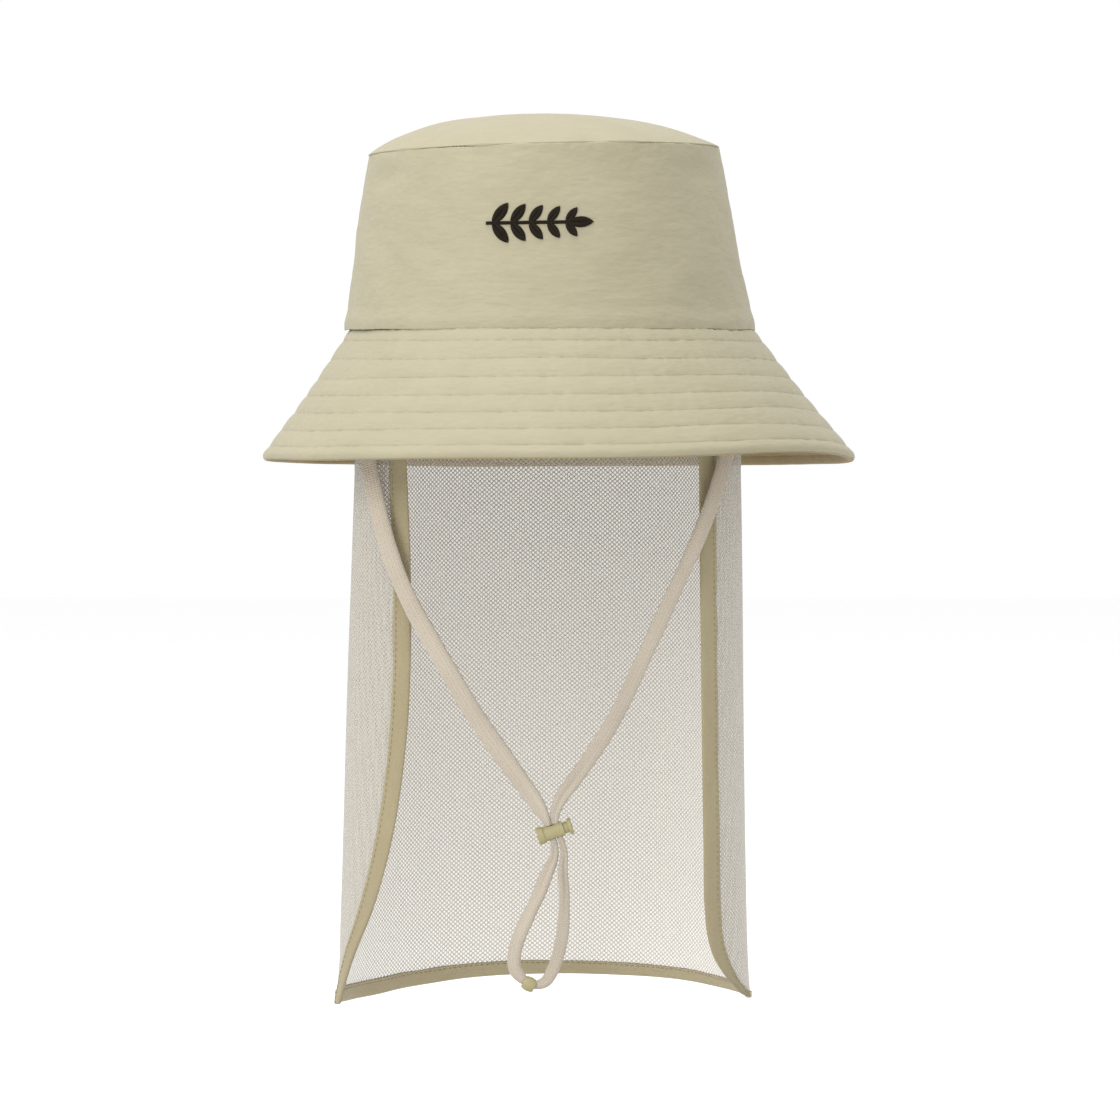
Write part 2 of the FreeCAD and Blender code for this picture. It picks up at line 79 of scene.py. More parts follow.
# --- Choices of this script ----------------------------------------------------------------
SEAM_ROLL = 0.6               # how round the cloth's edge is where it turns into a seam
DOME_POWER = 2.75             # the dome's height is (1 - share ** power) ** shoulder of its rise
DOME_SHOULDER = 0.92
CROWN_TILT = 0.024            # the top seam stands higher on the wearer's left
BRIM_ROWS = (0.097, 0.245, 0.39, 0.53, 0.665, 0.80, 0.922)   # stitch rows, joint to edge
BRIM_PUFF = 0.6
BRIM_BUILD = 3.2              # thickness of the whole brim
STITCH_PITCH = 2.4
STITCH_LONG = 1.5
SEAM_STEPS = 900              # points of a stitch line that goes all the way round the hat
THREAD = 0.17                 # radius of the sewing thread
HOLE_PITCH = (2.3, 2.0)       # the mesh's holes sit in staggered rows
HOLE_RADIUS = 0.56
HOLE_HAZE = 0.4               # how much of the light the fine yarns across a hole still stop
BINDING_WIDE = 7.8
BINDING_THICK = 1.7
HEM_WIDE = 7.2
FLAP_STEPS = (260, 150)       # columns and rows of the flap's grid
UP = np.array([0.0, 0.0, 1.0])


# --- Small numeric helpers -------------------------------------------------------------------
def soft_noise(x, y, seed=0, period=None):
    """Smooth noise from -1 to 1 over a plane; period closes it in x after that many cells."""
    column = np.floor(x)
    row = np.floor(y)
    across = (x - column) ** 2 * (3 - 2 * (x - column))
    along = (y - row) ** 2 * (3 - 2 * (y - row))

    def corner(i, j):
        place = column + i
        if period:
            place = np.mod(place, period)
        value = np.sin(place * 127.1 + (row + j) * 311.7 + seed * 74.7) * 43758.5453
        return 2 * (value - np.floor(value)) - 1

    low = corner(0, 0) * (1 - across) + corner(1, 0) * across
    high = corner(0, 1) * (1 - across) + corner(1, 1) * across
    return low * (1 - along) + high * along


def bump_at(value, centre, width):
    """Smooth hump of height 1."""
    return np.exp(-(((value - centre) / width) ** 2))


def full_turn(count):
    """Angles of so many even steps round a circle."""
    return 2 * np.pi * np.arange(count) / count


def blunt(values, power):
    """A sine or cosine with fuller sides, which makes a circle squarer."""
    return np.sign(values) * np.abs(values) ** power


def stacked(*parts):
    """Coordinates side by side in a last axis, each spread over the whole grid."""
    return np.stack(np.broadcast_arrays(*parts), -1)


def unit(vectors):
    return vectors / np.maximum(np.linalg.norm(vectors, axis=-1, keepdims=True), 1e-12)


def grid_normals(points, closed):
    """Unit normals of a grid of points [u, v]; closed wraps in u."""
    if closed:
        along = np.roll(points, -1, 0) - np.roll(points, 1, 0)
    else:
        along = np.gradient(points, axis=0)
    return unit(np.cross(along, np.gradient(points, axis=1)))


def arc_lengths(points):
    """Distance along a line of points."""
    return np.concatenate([[0.0], np.cumsum(np.linalg.norm(np.diff(points, axis=0), axis=1))])


def read_line(places, distance, values):
    """Points or directions of a line, read at some distances along it."""
    return np.stack([np.interp(places, distance, values[:, k]) for k in range(3)], 1)


def smooth_line(stations, places, values):
    """Smooth curve through a few (station, value) pairs, read at places."""
    stations = np.array(stations, float)
    values = np.array(values, float)
    slopes = np.gradient(values, stations)
    k = np.clip(np.searchsorted(stations, places) - 1, 0, len(stations) - 2)
    span = stations[k + 1] - stations[k]
    t = np.clip((places - stations[k]) / span, 0, 1)
    start = values[k] * (1 + 2 * t) * (1 - t) ** 2 + slopes[k] * span * t * (1 - t) ** 2
    end = values[k + 1] * t**2 * (3 - 2 * t) - slopes[k + 1] * span * t**2 * (1 - t)
    return start + end


# --- Meshes ------------------------------------------------------------------------------------
def make_mesh(name, points, faces, uv=None, material=None):
    """Mesh object from millimetre points, quads or triangles, and a UV per point in metres."""
    data = bpy.data.meshes.new(name)
    data.from_pydata((points * MM).tolist(), [], faces)
    if uv is not None:
        layer = data.uv_layers.new(name="cloth")
        loops = np.zeros(len(data.loops), np.int32)
        data.loops.foreach_get("vertex_index", loops)
        layer.data.foreach_set("uv", (uv[loops] * MM).astype(np.float32).ravel())
    data.polygons.foreach_set("use_smooth", [True] * len(data.polygons))
    data.update()
    piece = bpy.data.objects.new(name, data)
    bpy.context.scene.collection.objects.link(piece)
    if material:
        data.materials.append(material)
    return piece


def grid_faces(rows, columns, closed_rows, closed_columns=False, start=0, flip=False):
    """Quads of a grid whose points are numbered row by row."""
    number = start + np.arange(rows * columns).reshape(rows, columns)
    if closed_rows:
        number = np.concatenate([number, number[:1]])
    if closed_columns:
        number = np.concatenate([number, number[:, :1]], 1)
    quads = [number[:-1, :-1], number[:-1, 1:], number[1:, 1:], number[1:, :-1]]
    if flip:
        quads = [quads[0], quads[3], quads[2], quads[1]]
    return np.stack(quads, -1).reshape(-1, 4).tolist()


def shell(name, points, closed, thickness, uv, material, normals=None):
    """Closed thin cloth: a grid, a second skin behind it and the rims between them."""
    rows, columns = points.shape[:2]
    if normals is None:
        normals = grid_normals(points, closed)
    back = points - normals * thickness
    count = rows * columns
    faces = grid_faces(rows, columns, closed) + grid_faces(rows, columns, closed, start=count, flip=True)
    number = np.arange(count).reshape(rows, columns)
    rims = [number[::-1, 0], number[:, -1]]
    if closed:
        rims = [np.append(rim, rim[0]) for rim in rims]
    else:
        rims += [number[0], number[-1, ::-1]]
    for rim in rims:
        line = rim.tolist()
        faces += [(a, a + count, b + count, b) for a, b in zip(line, line[1:])]
    both = np.concatenate([points.reshape(-1, 3), back.reshape(-1, 3)])
    flat = uv.reshape(-1, 2)
    return make_mesh(name, both, faces, np.concatenate([flat, flat]), material)


def tube(name, rings, uv, material):
    """Closed tube from rings of points [ring, around], with capped ends."""
    count, around = rings.shape[:2]
    faces = grid_faces(count, around, False, True)
    faces.append(tuple(range(around))[::-1])
    faces.append(tuple((count - 1) * around + k for k in range(around)))
    return make_mesh(name, rings.reshape(-1, 3), faces, uv.reshape(-1, 2), material)


def threads(name, starts, ends, normals, radius, lift, material, spans=4, sides=6):
    """Many short threads as one mesh; each rises off the cloth in its middle and dips in at its ends."""
    count = len(starts)
    ahead = unit(ends - starts)
    side = unit(np.cross(normals, ahead))
    up = np.cross(ahead, side)
    share = np.linspace(0, 1, spans + 1)
    swell = np.sin(np.pi * (0.12 + 0.76 * share)) ** 0.6
    rise = lift * (1 - (2 * share - 1) ** 4) - radius * 0.6 * np.abs(2 * share - 1) ** 6
    angle = full_turn(sides)
    middle = starts[:, None] + (ends - starts)[:, None] * share[:, None] + up[:, None] * rise[:, None]
    around = side[:, None] * np.cos(angle)[None, :, None] + up[:, None] * np.sin(angle)[None, :, None]
    points = middle[:, :, None] + around[:, None] * (radius * swell)[None, :, None, None]
    per_thread = (spans + 1) * sides
    one = grid_faces(spans + 1, sides, False, True)
    one.append(tuple(range(sides))[::-1])
    one.append(tuple(spans * sides + k for k in range(sides)))
    faces = [tuple(v + n * per_thread for v in face) for n in range(count) for face in one]
    uv = np.zeros((count * per_thread, 2))
    uv[:, 0] = np.repeat(np.tile(share, count), sides) * np.repeat(
        np.linalg.norm(ends - starts, axis=1), per_thread
    )
    uv[:, 1] = np.tile(angle, count * (spans + 1)) * radius
    return make_mesh(name, points.reshape(-1, 3), faces, uv, material)


def stitch_row(line, normals, pitch=STITCH_PITCH, long=STITCH_LONG, closed=True):
    """Starts, ends and normals of the stitches along a line of points."""
    if closed:
        line = np.concatenate([line, line[:1]])
        normals = np.concatenate([normals, normals[:1]])
    distance = arc_lengths(line)
    count = int(distance[-1] / pitch)
    from_here = (np.arange(count) + 0.5) * distance[-1] / count - long / 2
    starts, ends = (read_line(places, distance, line) for places in (from_here, from_here + long))
    return starts, ends, unit(read_line(from_here + long / 2, distance, normals))


def sew(name, rows, material, radius=THREAD, lift=0.12):
    """One mesh of all the stitches of several rows."""
    starts, ends, normals = (np.concatenate(parts) for parts in zip(*rows))
    return threads(name, starts, ends, normals, radius, lift, material)


# --- Which CAD node a piece stands in for and what it moves with -----------------------------------
def stands_for(node):
    """The piece is shown in a CAD node's place; this hides the node."""
    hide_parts(node)


def hat_cloth(piece, node):
    """Cloth that moves with the hat, shown in a CAD node's place."""
    stands_for(node)
    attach(piece, "hat")


# --- Materials -----------------------------------------------------------------------------------
def srgb(red, green, blue):
    """Linear colour of an 8-bit display colour."""
    levels = [c / 255 for c in (red, green, blue)]
    return [((c + 0.055) / 1.055) ** 2.4 if c > 0.04 else c / 12.92 for c in levels] + [1.0]


class Surface:
    """A Principled material and short ways to add nodes to it."""

    def __init__(self, name, roughness, sheen=0.0, specular=0.4):
        self.material = bpy.data.materials.new(name)
        self.material.use_nodes = True
        self.tree = self.material.node_tree
        self.bsdf = self.tree.nodes["Principled BSDF"]
        self.bsdf.inputs["Roughness"].default_value = roughness
        self.bsdf.inputs["Sheen Weight"].default_value = sheen
        self.bsdf.inputs["Sheen Roughness"].default_value = 0.6
        self.bsdf.inputs["Specular IOR Level"].default_value = specular
        self.height = None

    def node(self, kind, inputs=(), **settings):
        """New node; inputs is a list of values, linked sockets or None, in order."""
        made = self.tree.nodes.new(kind)
        for key, value in settings.items():
            setattr(made, key, value)
        for socket, value in zip(made.inputs, inputs):
            if isinstance(value, bpy.types.NodeSocket):
                self.tree.links.new(value, socket)
            elif value is not None:
                socket.default_value = value
        return made

    def math(self, operation, *values):
        return self.node("ShaderNodeMath", values, operation=operation).outputs[0]

    def vector(self, operation, *values):
        return self.node("ShaderNodeVectorMath", values, operation=operation).outputs[0]

    def cloth(self, scale_u, scale_v):
        """The cloth's own flat coordinates, in metres, times a scale."""
        uv = self.node("ShaderNodeUVMap", uv_map="cloth").outputs[0]
        return self.vector("MULTIPLY", uv, (scale_u, scale_v, 1.0))

    def noise(self, scale_u, scale_v, detail=2.0):
        """Noise from 0 to 1 on the cloth, so many cells a metre each way."""
        made = self.node("ShaderNodeTexNoise")
        self.tree.links.new(self.cloth(scale_u, scale_v), made.inputs["Vector"])
        made.inputs["Scale"].default_value = 1.0
        made.inputs["Detail"].default_value = detail
        return made.outputs[0]

    def grain(self, scale):
        """Noise from 0 to 1 in the object's own space."""
        place = self.node("ShaderNodeTexCoord").outputs["Object"]
        made = self.node("ShaderNodeTexNoise", (place,))
        made.inputs["Scale"].default_value = scale
        return made.outputs[0]

    def ridges(self, per_metre_u, per_metre_v):
        """Sine ridges from 0 to 1 along one of the cloth's directions."""
        split = self.node("ShaderNodeSeparateXYZ", (self.cloth(per_metre_u, per_metre_v),))
        total = self.math("ADD", split.outputs[0], split.outputs[1])
        wave = self.math("SINE", self.math("MULTIPLY", total, 2 * math.pi))
        return self.math("MULTIPLY_ADD", wave, 0.5, 0.5)

    def mix(self, share, first, second):
        """Colour between two colours."""
        made = self.node("ShaderNodeMix", data_type="RGBA")
        for key, value in (("Factor", share), ("A", first), ("B", second)):
            sockets = [s for s in made.inputs if s.name == key and s.enabled]
            if isinstance(value, bpy.types.NodeSocket):
                self.tree.links.new(value, sockets[0])
            else:
                sockets[0].default_value = value
        return [s for s in made.outputs if s.enabled][0]

    def colour(self, socket):
        self.tree.links.new(socket, self.bsdf.inputs["Base Color"])

    def relief(self, *layers):
        """Bump from (height socket, height in metres) layers."""
        total = None
        for socket, size in layers:
            part = self.math("MULTIPLY", socket, size)
            total = part if total is None else self.math("ADD", total, part)
        made = self.node("ShaderNodeBump")
        made.inputs["Distance"].default_value = 1.0
        self.tree.links.new(total, made.inputs["Height"])
        self.tree.links.new(made.outputs[0], self.bsdf.inputs["Normal"])


def nylon(name, light, dark, roughness=0.6):
    """Crinkled light nylon: fine plain weave, soft sideways crinkle and a slight change of tone."""
    skin = Surface(name, roughness, sheen=0.06, specular=0.22)
    tone = skin.noise(35.0, 60.0, 3.0)
    crinkle = skin.noise(190.0, 520.0, 3.0)
    share = skin.math("MULTIPLY_ADD", crinkle, 0.35, skin.math("MULTIPLY", tone, 0.5))
    skin.colour(skin.mix(share, dark, light))
    weave = skin.math("MULTIPLY", skin.ridges(2200.0, 0.0), skin.ridges(0.0, 2200.0))
    skin.relief((crinkle, 0.00032), (skin.noise(60.0, 180.0, 2.0), 0.0006), (weave, 0.00003))
    return skin.material


def tape(name, light, dark):
    """Plain bias tape: dense plain weave, a faint lengthwise grain."""
    skin = Surface(name, 0.7, sheen=0.15, specular=0.3)
    tone = skin.noise(60.0, 120.0, 2.0)
    grain = skin.noise(300.0, 2600.0, 2.0)
    share = skin.math("MULTIPLY_ADD", grain, 0.4, skin.math("MULTIPLY", tone, 0.5))
    skin.colour(skin.mix(share, dark, light))
    weave = skin.math("MULTIPLY", skin.ridges(1800.0, 0.0), skin.ridges(0.0, 1800.0))
    skin.relief((grain, 0.00008), (weave, 0.00006), (skin.noise(120.0, 300.0, 2.0), 0.00025))
    return skin.material


def knit(name, light, dark):
    """Fine knitted tube: rows of small V stitches, softer in the grooves, with painted shade that makes the
    grooves darker.
    """
    skin = Surface(name, 0.85, sheen=0.35, specular=0.2)
    split = skin.node("ShaderNodeSeparateXYZ", (skin.cloth(1.0, 1.0),))
    wale = skin.math("PINGPONG", skin.math("MULTIPLY", split.outputs[1], 1150.0), 0.5)
    lean = skin.math("MULTIPLY_ADD", wale, 0.9, skin.math("MULTIPLY", split.outputs[0], 1000.0))
    loops = skin.math("MULTIPLY_ADD", skin.math("SINE", skin.math("MULTIPLY", lean, 2 * math.pi)), 0.5, 0.5)
    stitch = skin.math("MULTIPLY", loops, skin.math("MULTIPLY", wale, 2.0))
    fuzz = skin.noise(1500.0, 1500.0, 3.0)
    tone = skin.noise(40.0, 90.0, 2.0)
    # Painted shade: the colour goes darker where the stitch bump dips into the grooves.
    share = skin.math("MULTIPLY_ADD", stitch, 0.35, skin.math("MULTIPLY", tone, 0.65))
    skin.colour(skin.mix(share, dark, light))
    skin.relief((stitch, 0.00022), (fuzz, 0.00008))
    return skin.material


def mesh_cloth(name, outside, inside):
    """See-through mesh: soft-edged holes in staggered rows; outside and inside are (light, dark). The inside
    colours are painted lighter and the outside colours darker, painted light that evens out the shade inside
    the flap and the direct light on its outer face; the yarn is painted darker towards each hole as painted
    shade.
    """
    skin = Surface(name, 0.75, sheen=0.2, specular=0.3)
    wide, tall = HOLE_PITCH
    nearest = None
    for shift in (0.0, 0.5):
        cell = skin.vector("ADD", skin.cloth(1 / (wide * MM), 1 / (tall * MM)), (shift, shift, 0.0))
        middle = skin.vector("SUBTRACT", skin.vector("FRACTION", cell), (0.5, 0.5, 0.0))
        in_mm = skin.vector("MULTIPLY", middle, (wide, tall, 0.0))
        away = skin.node("ShaderNodeVectorMath", (in_mm,), operation="LENGTH").outputs["Value"]
        nearest = away if nearest is None else skin.math("MINIMUM", nearest, away)
    solid = skin.node("ShaderNodeMapRange", interpolation_type="SMOOTHSTEP")
    solid.inputs["From Min"].default_value = HOLE_RADIUS - 0.13
    solid.inputs["From Max"].default_value = HOLE_RADIUS + 0.13
    skin.tree.links.new(nearest, solid.inputs["Value"])
    solid.inputs["To Min"].default_value = HOLE_HAZE
    skin.tree.links.new(solid.outputs[0], skin.bsdf.inputs["Alpha"])
    # Painted shade: the yarn's colour goes darker towards the edge of each hole, where its bump is lowest.
    hole_edge_shade = skin.math("MULTIPLY_ADD", nearest, 1.6, -0.75)
    share = skin.math("MULTIPLY_ADD", skin.noise(80.0, 80.0), 0.4, hole_edge_shade)
    # Painted light: the inner face takes the lighter inside colours and the outer face takes the darker
    # outside ones.
    painted_side_switch = skin.node("ShaderNodeNewGeometry").outputs["Backfacing"]
    faces = [skin.mix(share, dark, light) for light, dark in (inside, outside)]
    skin.colour(skin.mix(painted_side_switch, *faces))
    skin.relief((nearest, 0.0002))
    return skin.material


def plastic(name, light, dark, roughness=0.42):
    """Moulded plastic with a faint grain, in object coordinates."""
    skin = Surface(name, roughness, specular=0.5)
    cloud = skin.grain(260.0)
    skin.colour(skin.mix(cloud, dark, light))
    skin.relief((skin.grain(3500.0), 0.00005), (cloud, 0.00012))
    return skin.material


def thread_material(name, light, dark, roughness=0.5, specular=0.4):
    """Twisted thread: slanted ply lines along its length."""
    skin = Surface(name, roughness, specular=specular)
    ply = skin.ridges(1600.0, 1400.0)
    skin.colour(skin.mix(ply, dark, light))
    skin.relief((ply, 0.00004))
    return skin.material


def steel(name):
    """Spring steel with faint streaks."""
    skin = Surface(name, 0.28)
    skin.bsdf.inputs["Metallic"].default_value = 1.0
    skin.colour(skin.mix(skin.grain(2500.0), (0.45, 0.45, 0.46, 1), (0.7, 0.7, 0.7, 1)))
    return skin.material


SHELL = nylon("shell_nylon", srgb(165, 159, 136), srgb(148, 141, 115))
UNDER = nylon("under_nylon", srgb(160, 142, 104), srgb(140, 122, 84), 0.7)
LINING = nylon("lining_cloth", srgb(176, 168, 144), srgb(160, 152, 126), 0.75)
BAND = tape("sweatband_cloth", srgb(170, 162, 138), srgb(154, 145, 120))
FLEECE = tape("interlining_cloth", srgb(206, 205, 200), srgb(190, 188, 182))
TAPE = tape("binding_tape", srgb(161, 151, 121), srgb(144, 132, 101))
HEM = tape("hem_tape", srgb(184, 173, 143), srgb(166, 153, 120))
# The flap mesh's outer colours are painted darker and its inner colours lighter, as painted light.
MESH = mesh_cloth(
    "flap_mesh",
    outside=(srgb(182, 177, 166), srgb(160, 153, 140)),
    inside=(srgb(220, 215, 204), srgb(206, 199, 186)),
)
KNIT = knit("cord_knit", srgb(198, 188, 173), srgb(170, 158, 140))
OLIVE = plastic("lock_plastic", srgb(166, 158, 118), srgb(152, 142, 103))
STEEL = steel("spring_steel")
BLACK = thread_material("black_thread", srgb(52, 45, 38), srgb(14, 12, 10), 0.8, 0.02)
SEWING = thread_material("sewing_thread", srgb(128, 112, 74), srgb(98, 82, 50))
TAPE_THREAD = thread_material("tape_thread", srgb(156, 146, 116), srgb(130, 120, 90))
LABEL = tape("label_cloth", srgb(214, 212, 204), srgb(200, 197, 188))


# --- Camera, light and floor ---------------------------------------------------------------------
def build_studio():
    """Level view from the front, wide soft light from the left, white surroundings, with a painted shadow on
    the floor under the hat.
    """
    scene = bpy.context.scene
    scene.view_settings.view_transform = "Standard"
    eye = Vector((4.4, -2000.0, -15.2)) * MM
    aim = Vector((4.4, 0.0, -100.0)) * MM
    camera = bpy.data.objects.new("camera", bpy.data.cameras.new("camera"))
    camera.location = eye
    camera.rotation_euler = (aim - eye).to_track_quat("-Z", "Y").to_euler()
    frame_width = 487.4
    camera.data.sensor_width = 36.0
    camera.data.lens = 36.0 * (aim - eye).length / (frame_width * MM)
    scene.collection.objects.link(camera)
    scene.camera = camera

    lamps = (
        ("key", (-1.5, -1.7, 0.9), 1.0, 25.0),
        ("top", (-0.1, -0.25, 1.8), 1.2, 24.0),
    )
    for name, place, size, power in lamps:
        lamp = bpy.data.lights.new(name, "AREA")
        lamp.size = size
        lamp.energy = power
        made = bpy.data.objects.new(name, lamp)
        made.location = place
        made.rotation_euler = (Vector((0, 0, -0.1)) - Vector(place)).to_track_quat("-Z", "Y").to_euler()
        scene.collection.objects.link(made)

    world = bpy.data.worlds.new("world")
    world.use_nodes = True
    background = world.node_tree.nodes["Background"]
    background.inputs["Color"].default_value = (1.0, 1.0, 1.0, 1.0)
    background.inputs["Strength"].default_value = 1.0
    scene.world = world

    half = 6000.0
    low = -420.0
    corners = np.array([(-half, -half, low), (half, -half, low), (half, half, low), (-half, half, low)])
    skin = Surface("floor", 0.9)
    place = skin.node("ShaderNodeTexCoord").outputs["Object"]
    away = skin.node("ShaderNodeVectorMath", (place,), operation="LENGTH").outputs["Value"]
    # Painted shadow: the floor is painted grey right under the hat and fades to near white further out.
    painted_shadow_fade = skin.node("ShaderNodeMapRange", (away, 0.42, 0.9, 0.0, 1.0)).outputs[0]
    skin.colour(skin.mix(painted_shadow_fade, (0.55, 0.55, 0.54, 1), (0.97, 0.97, 0.97, 1)))
    under = skin.node("ShaderNodeNewGeometry").outputs["Backfacing"]
    skin.tree.links.new(skin.math("SUBTRACT", 1.0, under), skin.bsdf.inputs["Alpha"])
    make_mesh("floor", corners, [(0, 1, 2, 3)], material=skin.material)


# --- Chin cord -------------------------------------------------------------------------------------
# The same routes as the CAD cords, from the joint seam to the lock and from the lock to the bead.
LOCK_LEAN = math.radians(18.0)
LOCK_CENTRE = np.array([2.1, -76.0, -210.7])
LOCK_REACH = 3.3
SPRING_ENDS = (-6.15, -3.25)    # along the lock's axis
SPRING_RADIUS = 1.6
SPRING_WIRE = 0.2
SPRING_TURNS = 3


def lock_point(along, across):
    """Point in the lock's plane: along its axis, and across it the way the strands run."""
    x = along * math.cos(LOCK_LEAN) - across * math.sin(LOCK_LEAN)
    z = along * math.sin(LOCK_LEAN) + across * math.cos(LOCK_LEAN)
    return tuple(LOCK_CENTRE + np.array([x, 0.0, z]))


CORD_ROUTES = {
    "chin_cord_left_upper": [
        (-78.6, -45.3, -14.0), (-78.5, -54.5, -34.0), (-76.5, -61.5, -56.0), (-69.5, -68.0, -88.0),
        (-60.0, -71.5, -113.0), (-45.5, -74.0, -138.0), (-31.0, -75.5, -163.0), (-13.5, -76.0, -187.5),
        lock_point(-1.9, LOCK_REACH + 5.0), lock_point(-1.7, 2.7),
    ],
    "chin_cord_right_upper": [
        (79.0, -45.5, -14.0), (77.5, -54.5, -33.0), (75.0, -62.0, -54.0), (64.5, -69.0, -84.0),
        (51.0, -72.5, -113.0), (39.0, -74.5, -139.0), (28.0, -75.5, -163.0), (14.0, -76.0, -184.5),
        lock_point(1.8, LOCK_REACH + 6.0), lock_point(1.3, 2.7),
    ],
    "chin_cord_left_lower": [
        lock_point(-1.5, -2.7), lock_point(-1.9, -LOCK_REACH - 5.5), (-0.8, -76.5, -227.5),
        (-5.0, -77.0, -238.5), (-10.0, -77.0, -248.5), (-13.8, -77.0, -257.5), (-15.2, -77.0, -264.5),
        (-14.2, -77.0, -270.6), (-9.3, -77.0, -274.7),
    ],
    "chin_cord_right_lower": [
        lock_point(1.3, -2.7), lock_point(2.0, -LOCK_REACH - 5.5), (5.4, -76.5, -226.5),
        (6.3, -77.0, -238.0), (6.0, -77.0, -249.5), (4.6, -77.0, -259.5), (2.0, -77.0, -268.2),
        (-2.4, -77.0, -276.0), (-8.2, -77.0, -275.3),
    ],
}
# Along each strand: share of its length, width, thickness, and turn of its flat face in degrees.
CORD_LIE = {
    "chin_cord_left_upper": [
        (0.0, 7.4, 2.4, 50), (0.12, 7.8, 2.3, 34), (0.3, 7.5, 2.2, 18), (0.6, 7.6, 2.2, 4),
        (0.90, 7.4, 2.3, 0), (0.955, 6.6, 2.6, 6), (0.985, 4.2, 3.0, 8), (1.0, 2.8, 3.0, 8),
    ],
    "chin_cord_right_upper": [
        (0.0, 7.4, 2.4, -52), (0.12, 7.4, 2.3, -36), (0.3, 6.9, 2.3, -26), (0.6, 6.7, 2.3, -20),
        (0.87, 6.6, 2.4, -16), (0.94, 6.0, 2.7, -10), (0.98, 4.2, 3.0, -6), (1.0, 2.8, 3.0, 0),
    ],
    "chin_cord_left_lower": [
        (0.0, 2.6, 3.0, 0), (0.07, 3.4, 3.0, 0), (0.2, 5.2, 2.7, 14), (0.5, 5.6, 2.6, 18),
        (0.8, 5.8, 2.5, 8), (0.93, 5.2, 2.6, 0), (1.0, 3.0, 2.9, 0),
    ],
    "chin_cord_right_lower": [
        (0.0, 2.6, 3.0, 0), (0.07, 3.0, 3.0, 0), (0.25, 4.4, 2.8, -30), (0.5, 5.2, 2.7, -22),
        (0.75, 5.4, 2.6, -10), (0.92, 4.6, 2.7, 0), (1.0, 3.0, 2.9, 0),
    ],
}
FOLD_DEPTH = 0.9                # the lock's squeeze folds the cord lengthwise beside it


def spline_points(name, route):
    """Points read from the smooth NURBS line of a route."""
    data = bpy.data.curves.new(name + "_line", "CURVE")
    data.dimensions = "3D"
    spline = data.splines.new("NURBS")
    spline.points.add(len(route) - 1)
    for point, place in zip(spline.points, route):
        point.co = (*(np.array(place) * MM), 1.0)
    spline.order_u = 3
    spline.use_endpoint_u = True
    spline.resolution_u = 24
    curve = bpy.data.objects.new(name + "_line", data)
    bpy.context.scene.collection.objects.link(curve)
    line = bpy.data.meshes.new_from_object(curve)
    points = np.array([v.co for v in line.vertices]) / MM
    bpy.data.objects.remove(curve)
    bpy.data.meshes.remove(line)
    return points


def even_line(points, step):
    """The same line with points an even step apart."""
    distance = arc_lengths(points)
    places = np.linspace(0, distance[-1], max(8, int(distance[-1] / step)))
    return read_line(places, distance, points), places


def cord_strand(name):
    """Flat knitted tube along its route, with its width, thickness and lie changing on the way."""
    line, distance = even_line(spline_points(name, CORD_ROUTES[name]), 0.7)
    share = distance / distance[-1]
    lie = np.array(CORD_LIE[name], float)
    width, thick, turn = (smooth_line(lie[:, 0], share, lie[:, k]) for k in (1, 2, 3))
    ahead = unit(np.gradient(line, axis=0))
    to_viewer = np.array([0.0, -1.0, 0.0])
    across = unit(np.cross(to_viewer, ahead))
    face = np.cross(ahead, across)
    turn = np.radians(turn)[:, None]
    across, face = across * np.cos(turn) + face * np.sin(turn), face * np.cos(turn) - across * np.sin(turn)
    angle = full_turn(28)
    flat = blunt(np.cos(angle), 0.75)
    round_side = blunt(np.sin(angle), 0.8)
    limp = 1 + 0.05 * soft_noise(share * 23, share * 0, 5)
    half_wide = (width * limp / 2)[:, None]
    half_thick = (thick / 2)[:, None] * (1 + 0.10 * np.abs(flat)[None] ** 4)
    from_lock = (1 - share if name.endswith("upper") else share) * distance[-1]
    fold = FOLD_DEPTH * bump_at(from_lock, 15.0, 13.0)
    groove = fold[:, None] * (bump_at(np.cos(angle), 0.0, 0.22) * (np.sin(angle) > 0))[None]
    rings = (
        line[:, None]
        + across[:, None] * (half_wide * flat[None])[..., None]
        + face[:, None] * (half_thick * round_side[None] - groove)[..., None]
    )
    girth = np.linspace(0, 2 * 8.5, len(angle))
    piece = tube(name + "_knit", rings, stacked(distance[:, None], girth), KNIT)
    stands_for(name)
    return piece, line


def build_cord():
    """The four strands, with the lock's and the bead's CAD solids given their plastic."""
    for name in CORD_ROUTES:
        piece, line = cord_strand(name)
        upper = name.endswith("upper")
        if upper:
            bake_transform(piece)
        else:
            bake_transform(piece)
    for node in ("cord_end_bead", "lock_barrel", "lock_plunger"):
        paint(node, OLIVE)
    build_spring()


def build_spring():
    """Coil spring between the lock's closed end and its plunger, built at one fixed length; the real one
    shortens as the plunger goes in.
    """
    share = np.linspace(0, 1, 130)
    turn = 2 * np.pi * SPRING_TURNS * share
    along = SPRING_ENDS[0] + (SPRING_ENDS[1] - SPRING_ENDS[0]) * share
    axis = np.array([lock_point(place, 0.0) for place in along])
    upwards = np.array(lock_point(0.0, 1.0)) - LOCK_CENTRE
    out = upwards * np.sin(turn)[:, None] + np.array([0.0, 1.0, 0.0]) * np.cos(turn)[:, None]
    line = axis + out * SPRING_RADIUS
    side = np.cross(unit(np.gradient(line, axis=0)), out)
    angle = full_turn(10)
    around = out[:, None] * np.cos(angle)[None, :, None] + side[:, None] * np.sin(angle)[None, :, None]
    rings = line[:, None] + around * SPRING_WIRE
    uv = stacked(arc_lengths(line)[:, None], angle * SPRING_WIRE)
    piece = tube("lock_spring_coil", rings, uv, STEEL)
    stands_for("lock_spring")
    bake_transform(piece)


def paint(node, material):
    """Give a CAD node that stays in view its own material and smooth shading."""
    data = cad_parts[node].data
    data.materials.clear()
    data.materials.append(material)
    data.polygons.foreach_set("use_smooth", [True] * len(data.polygons))


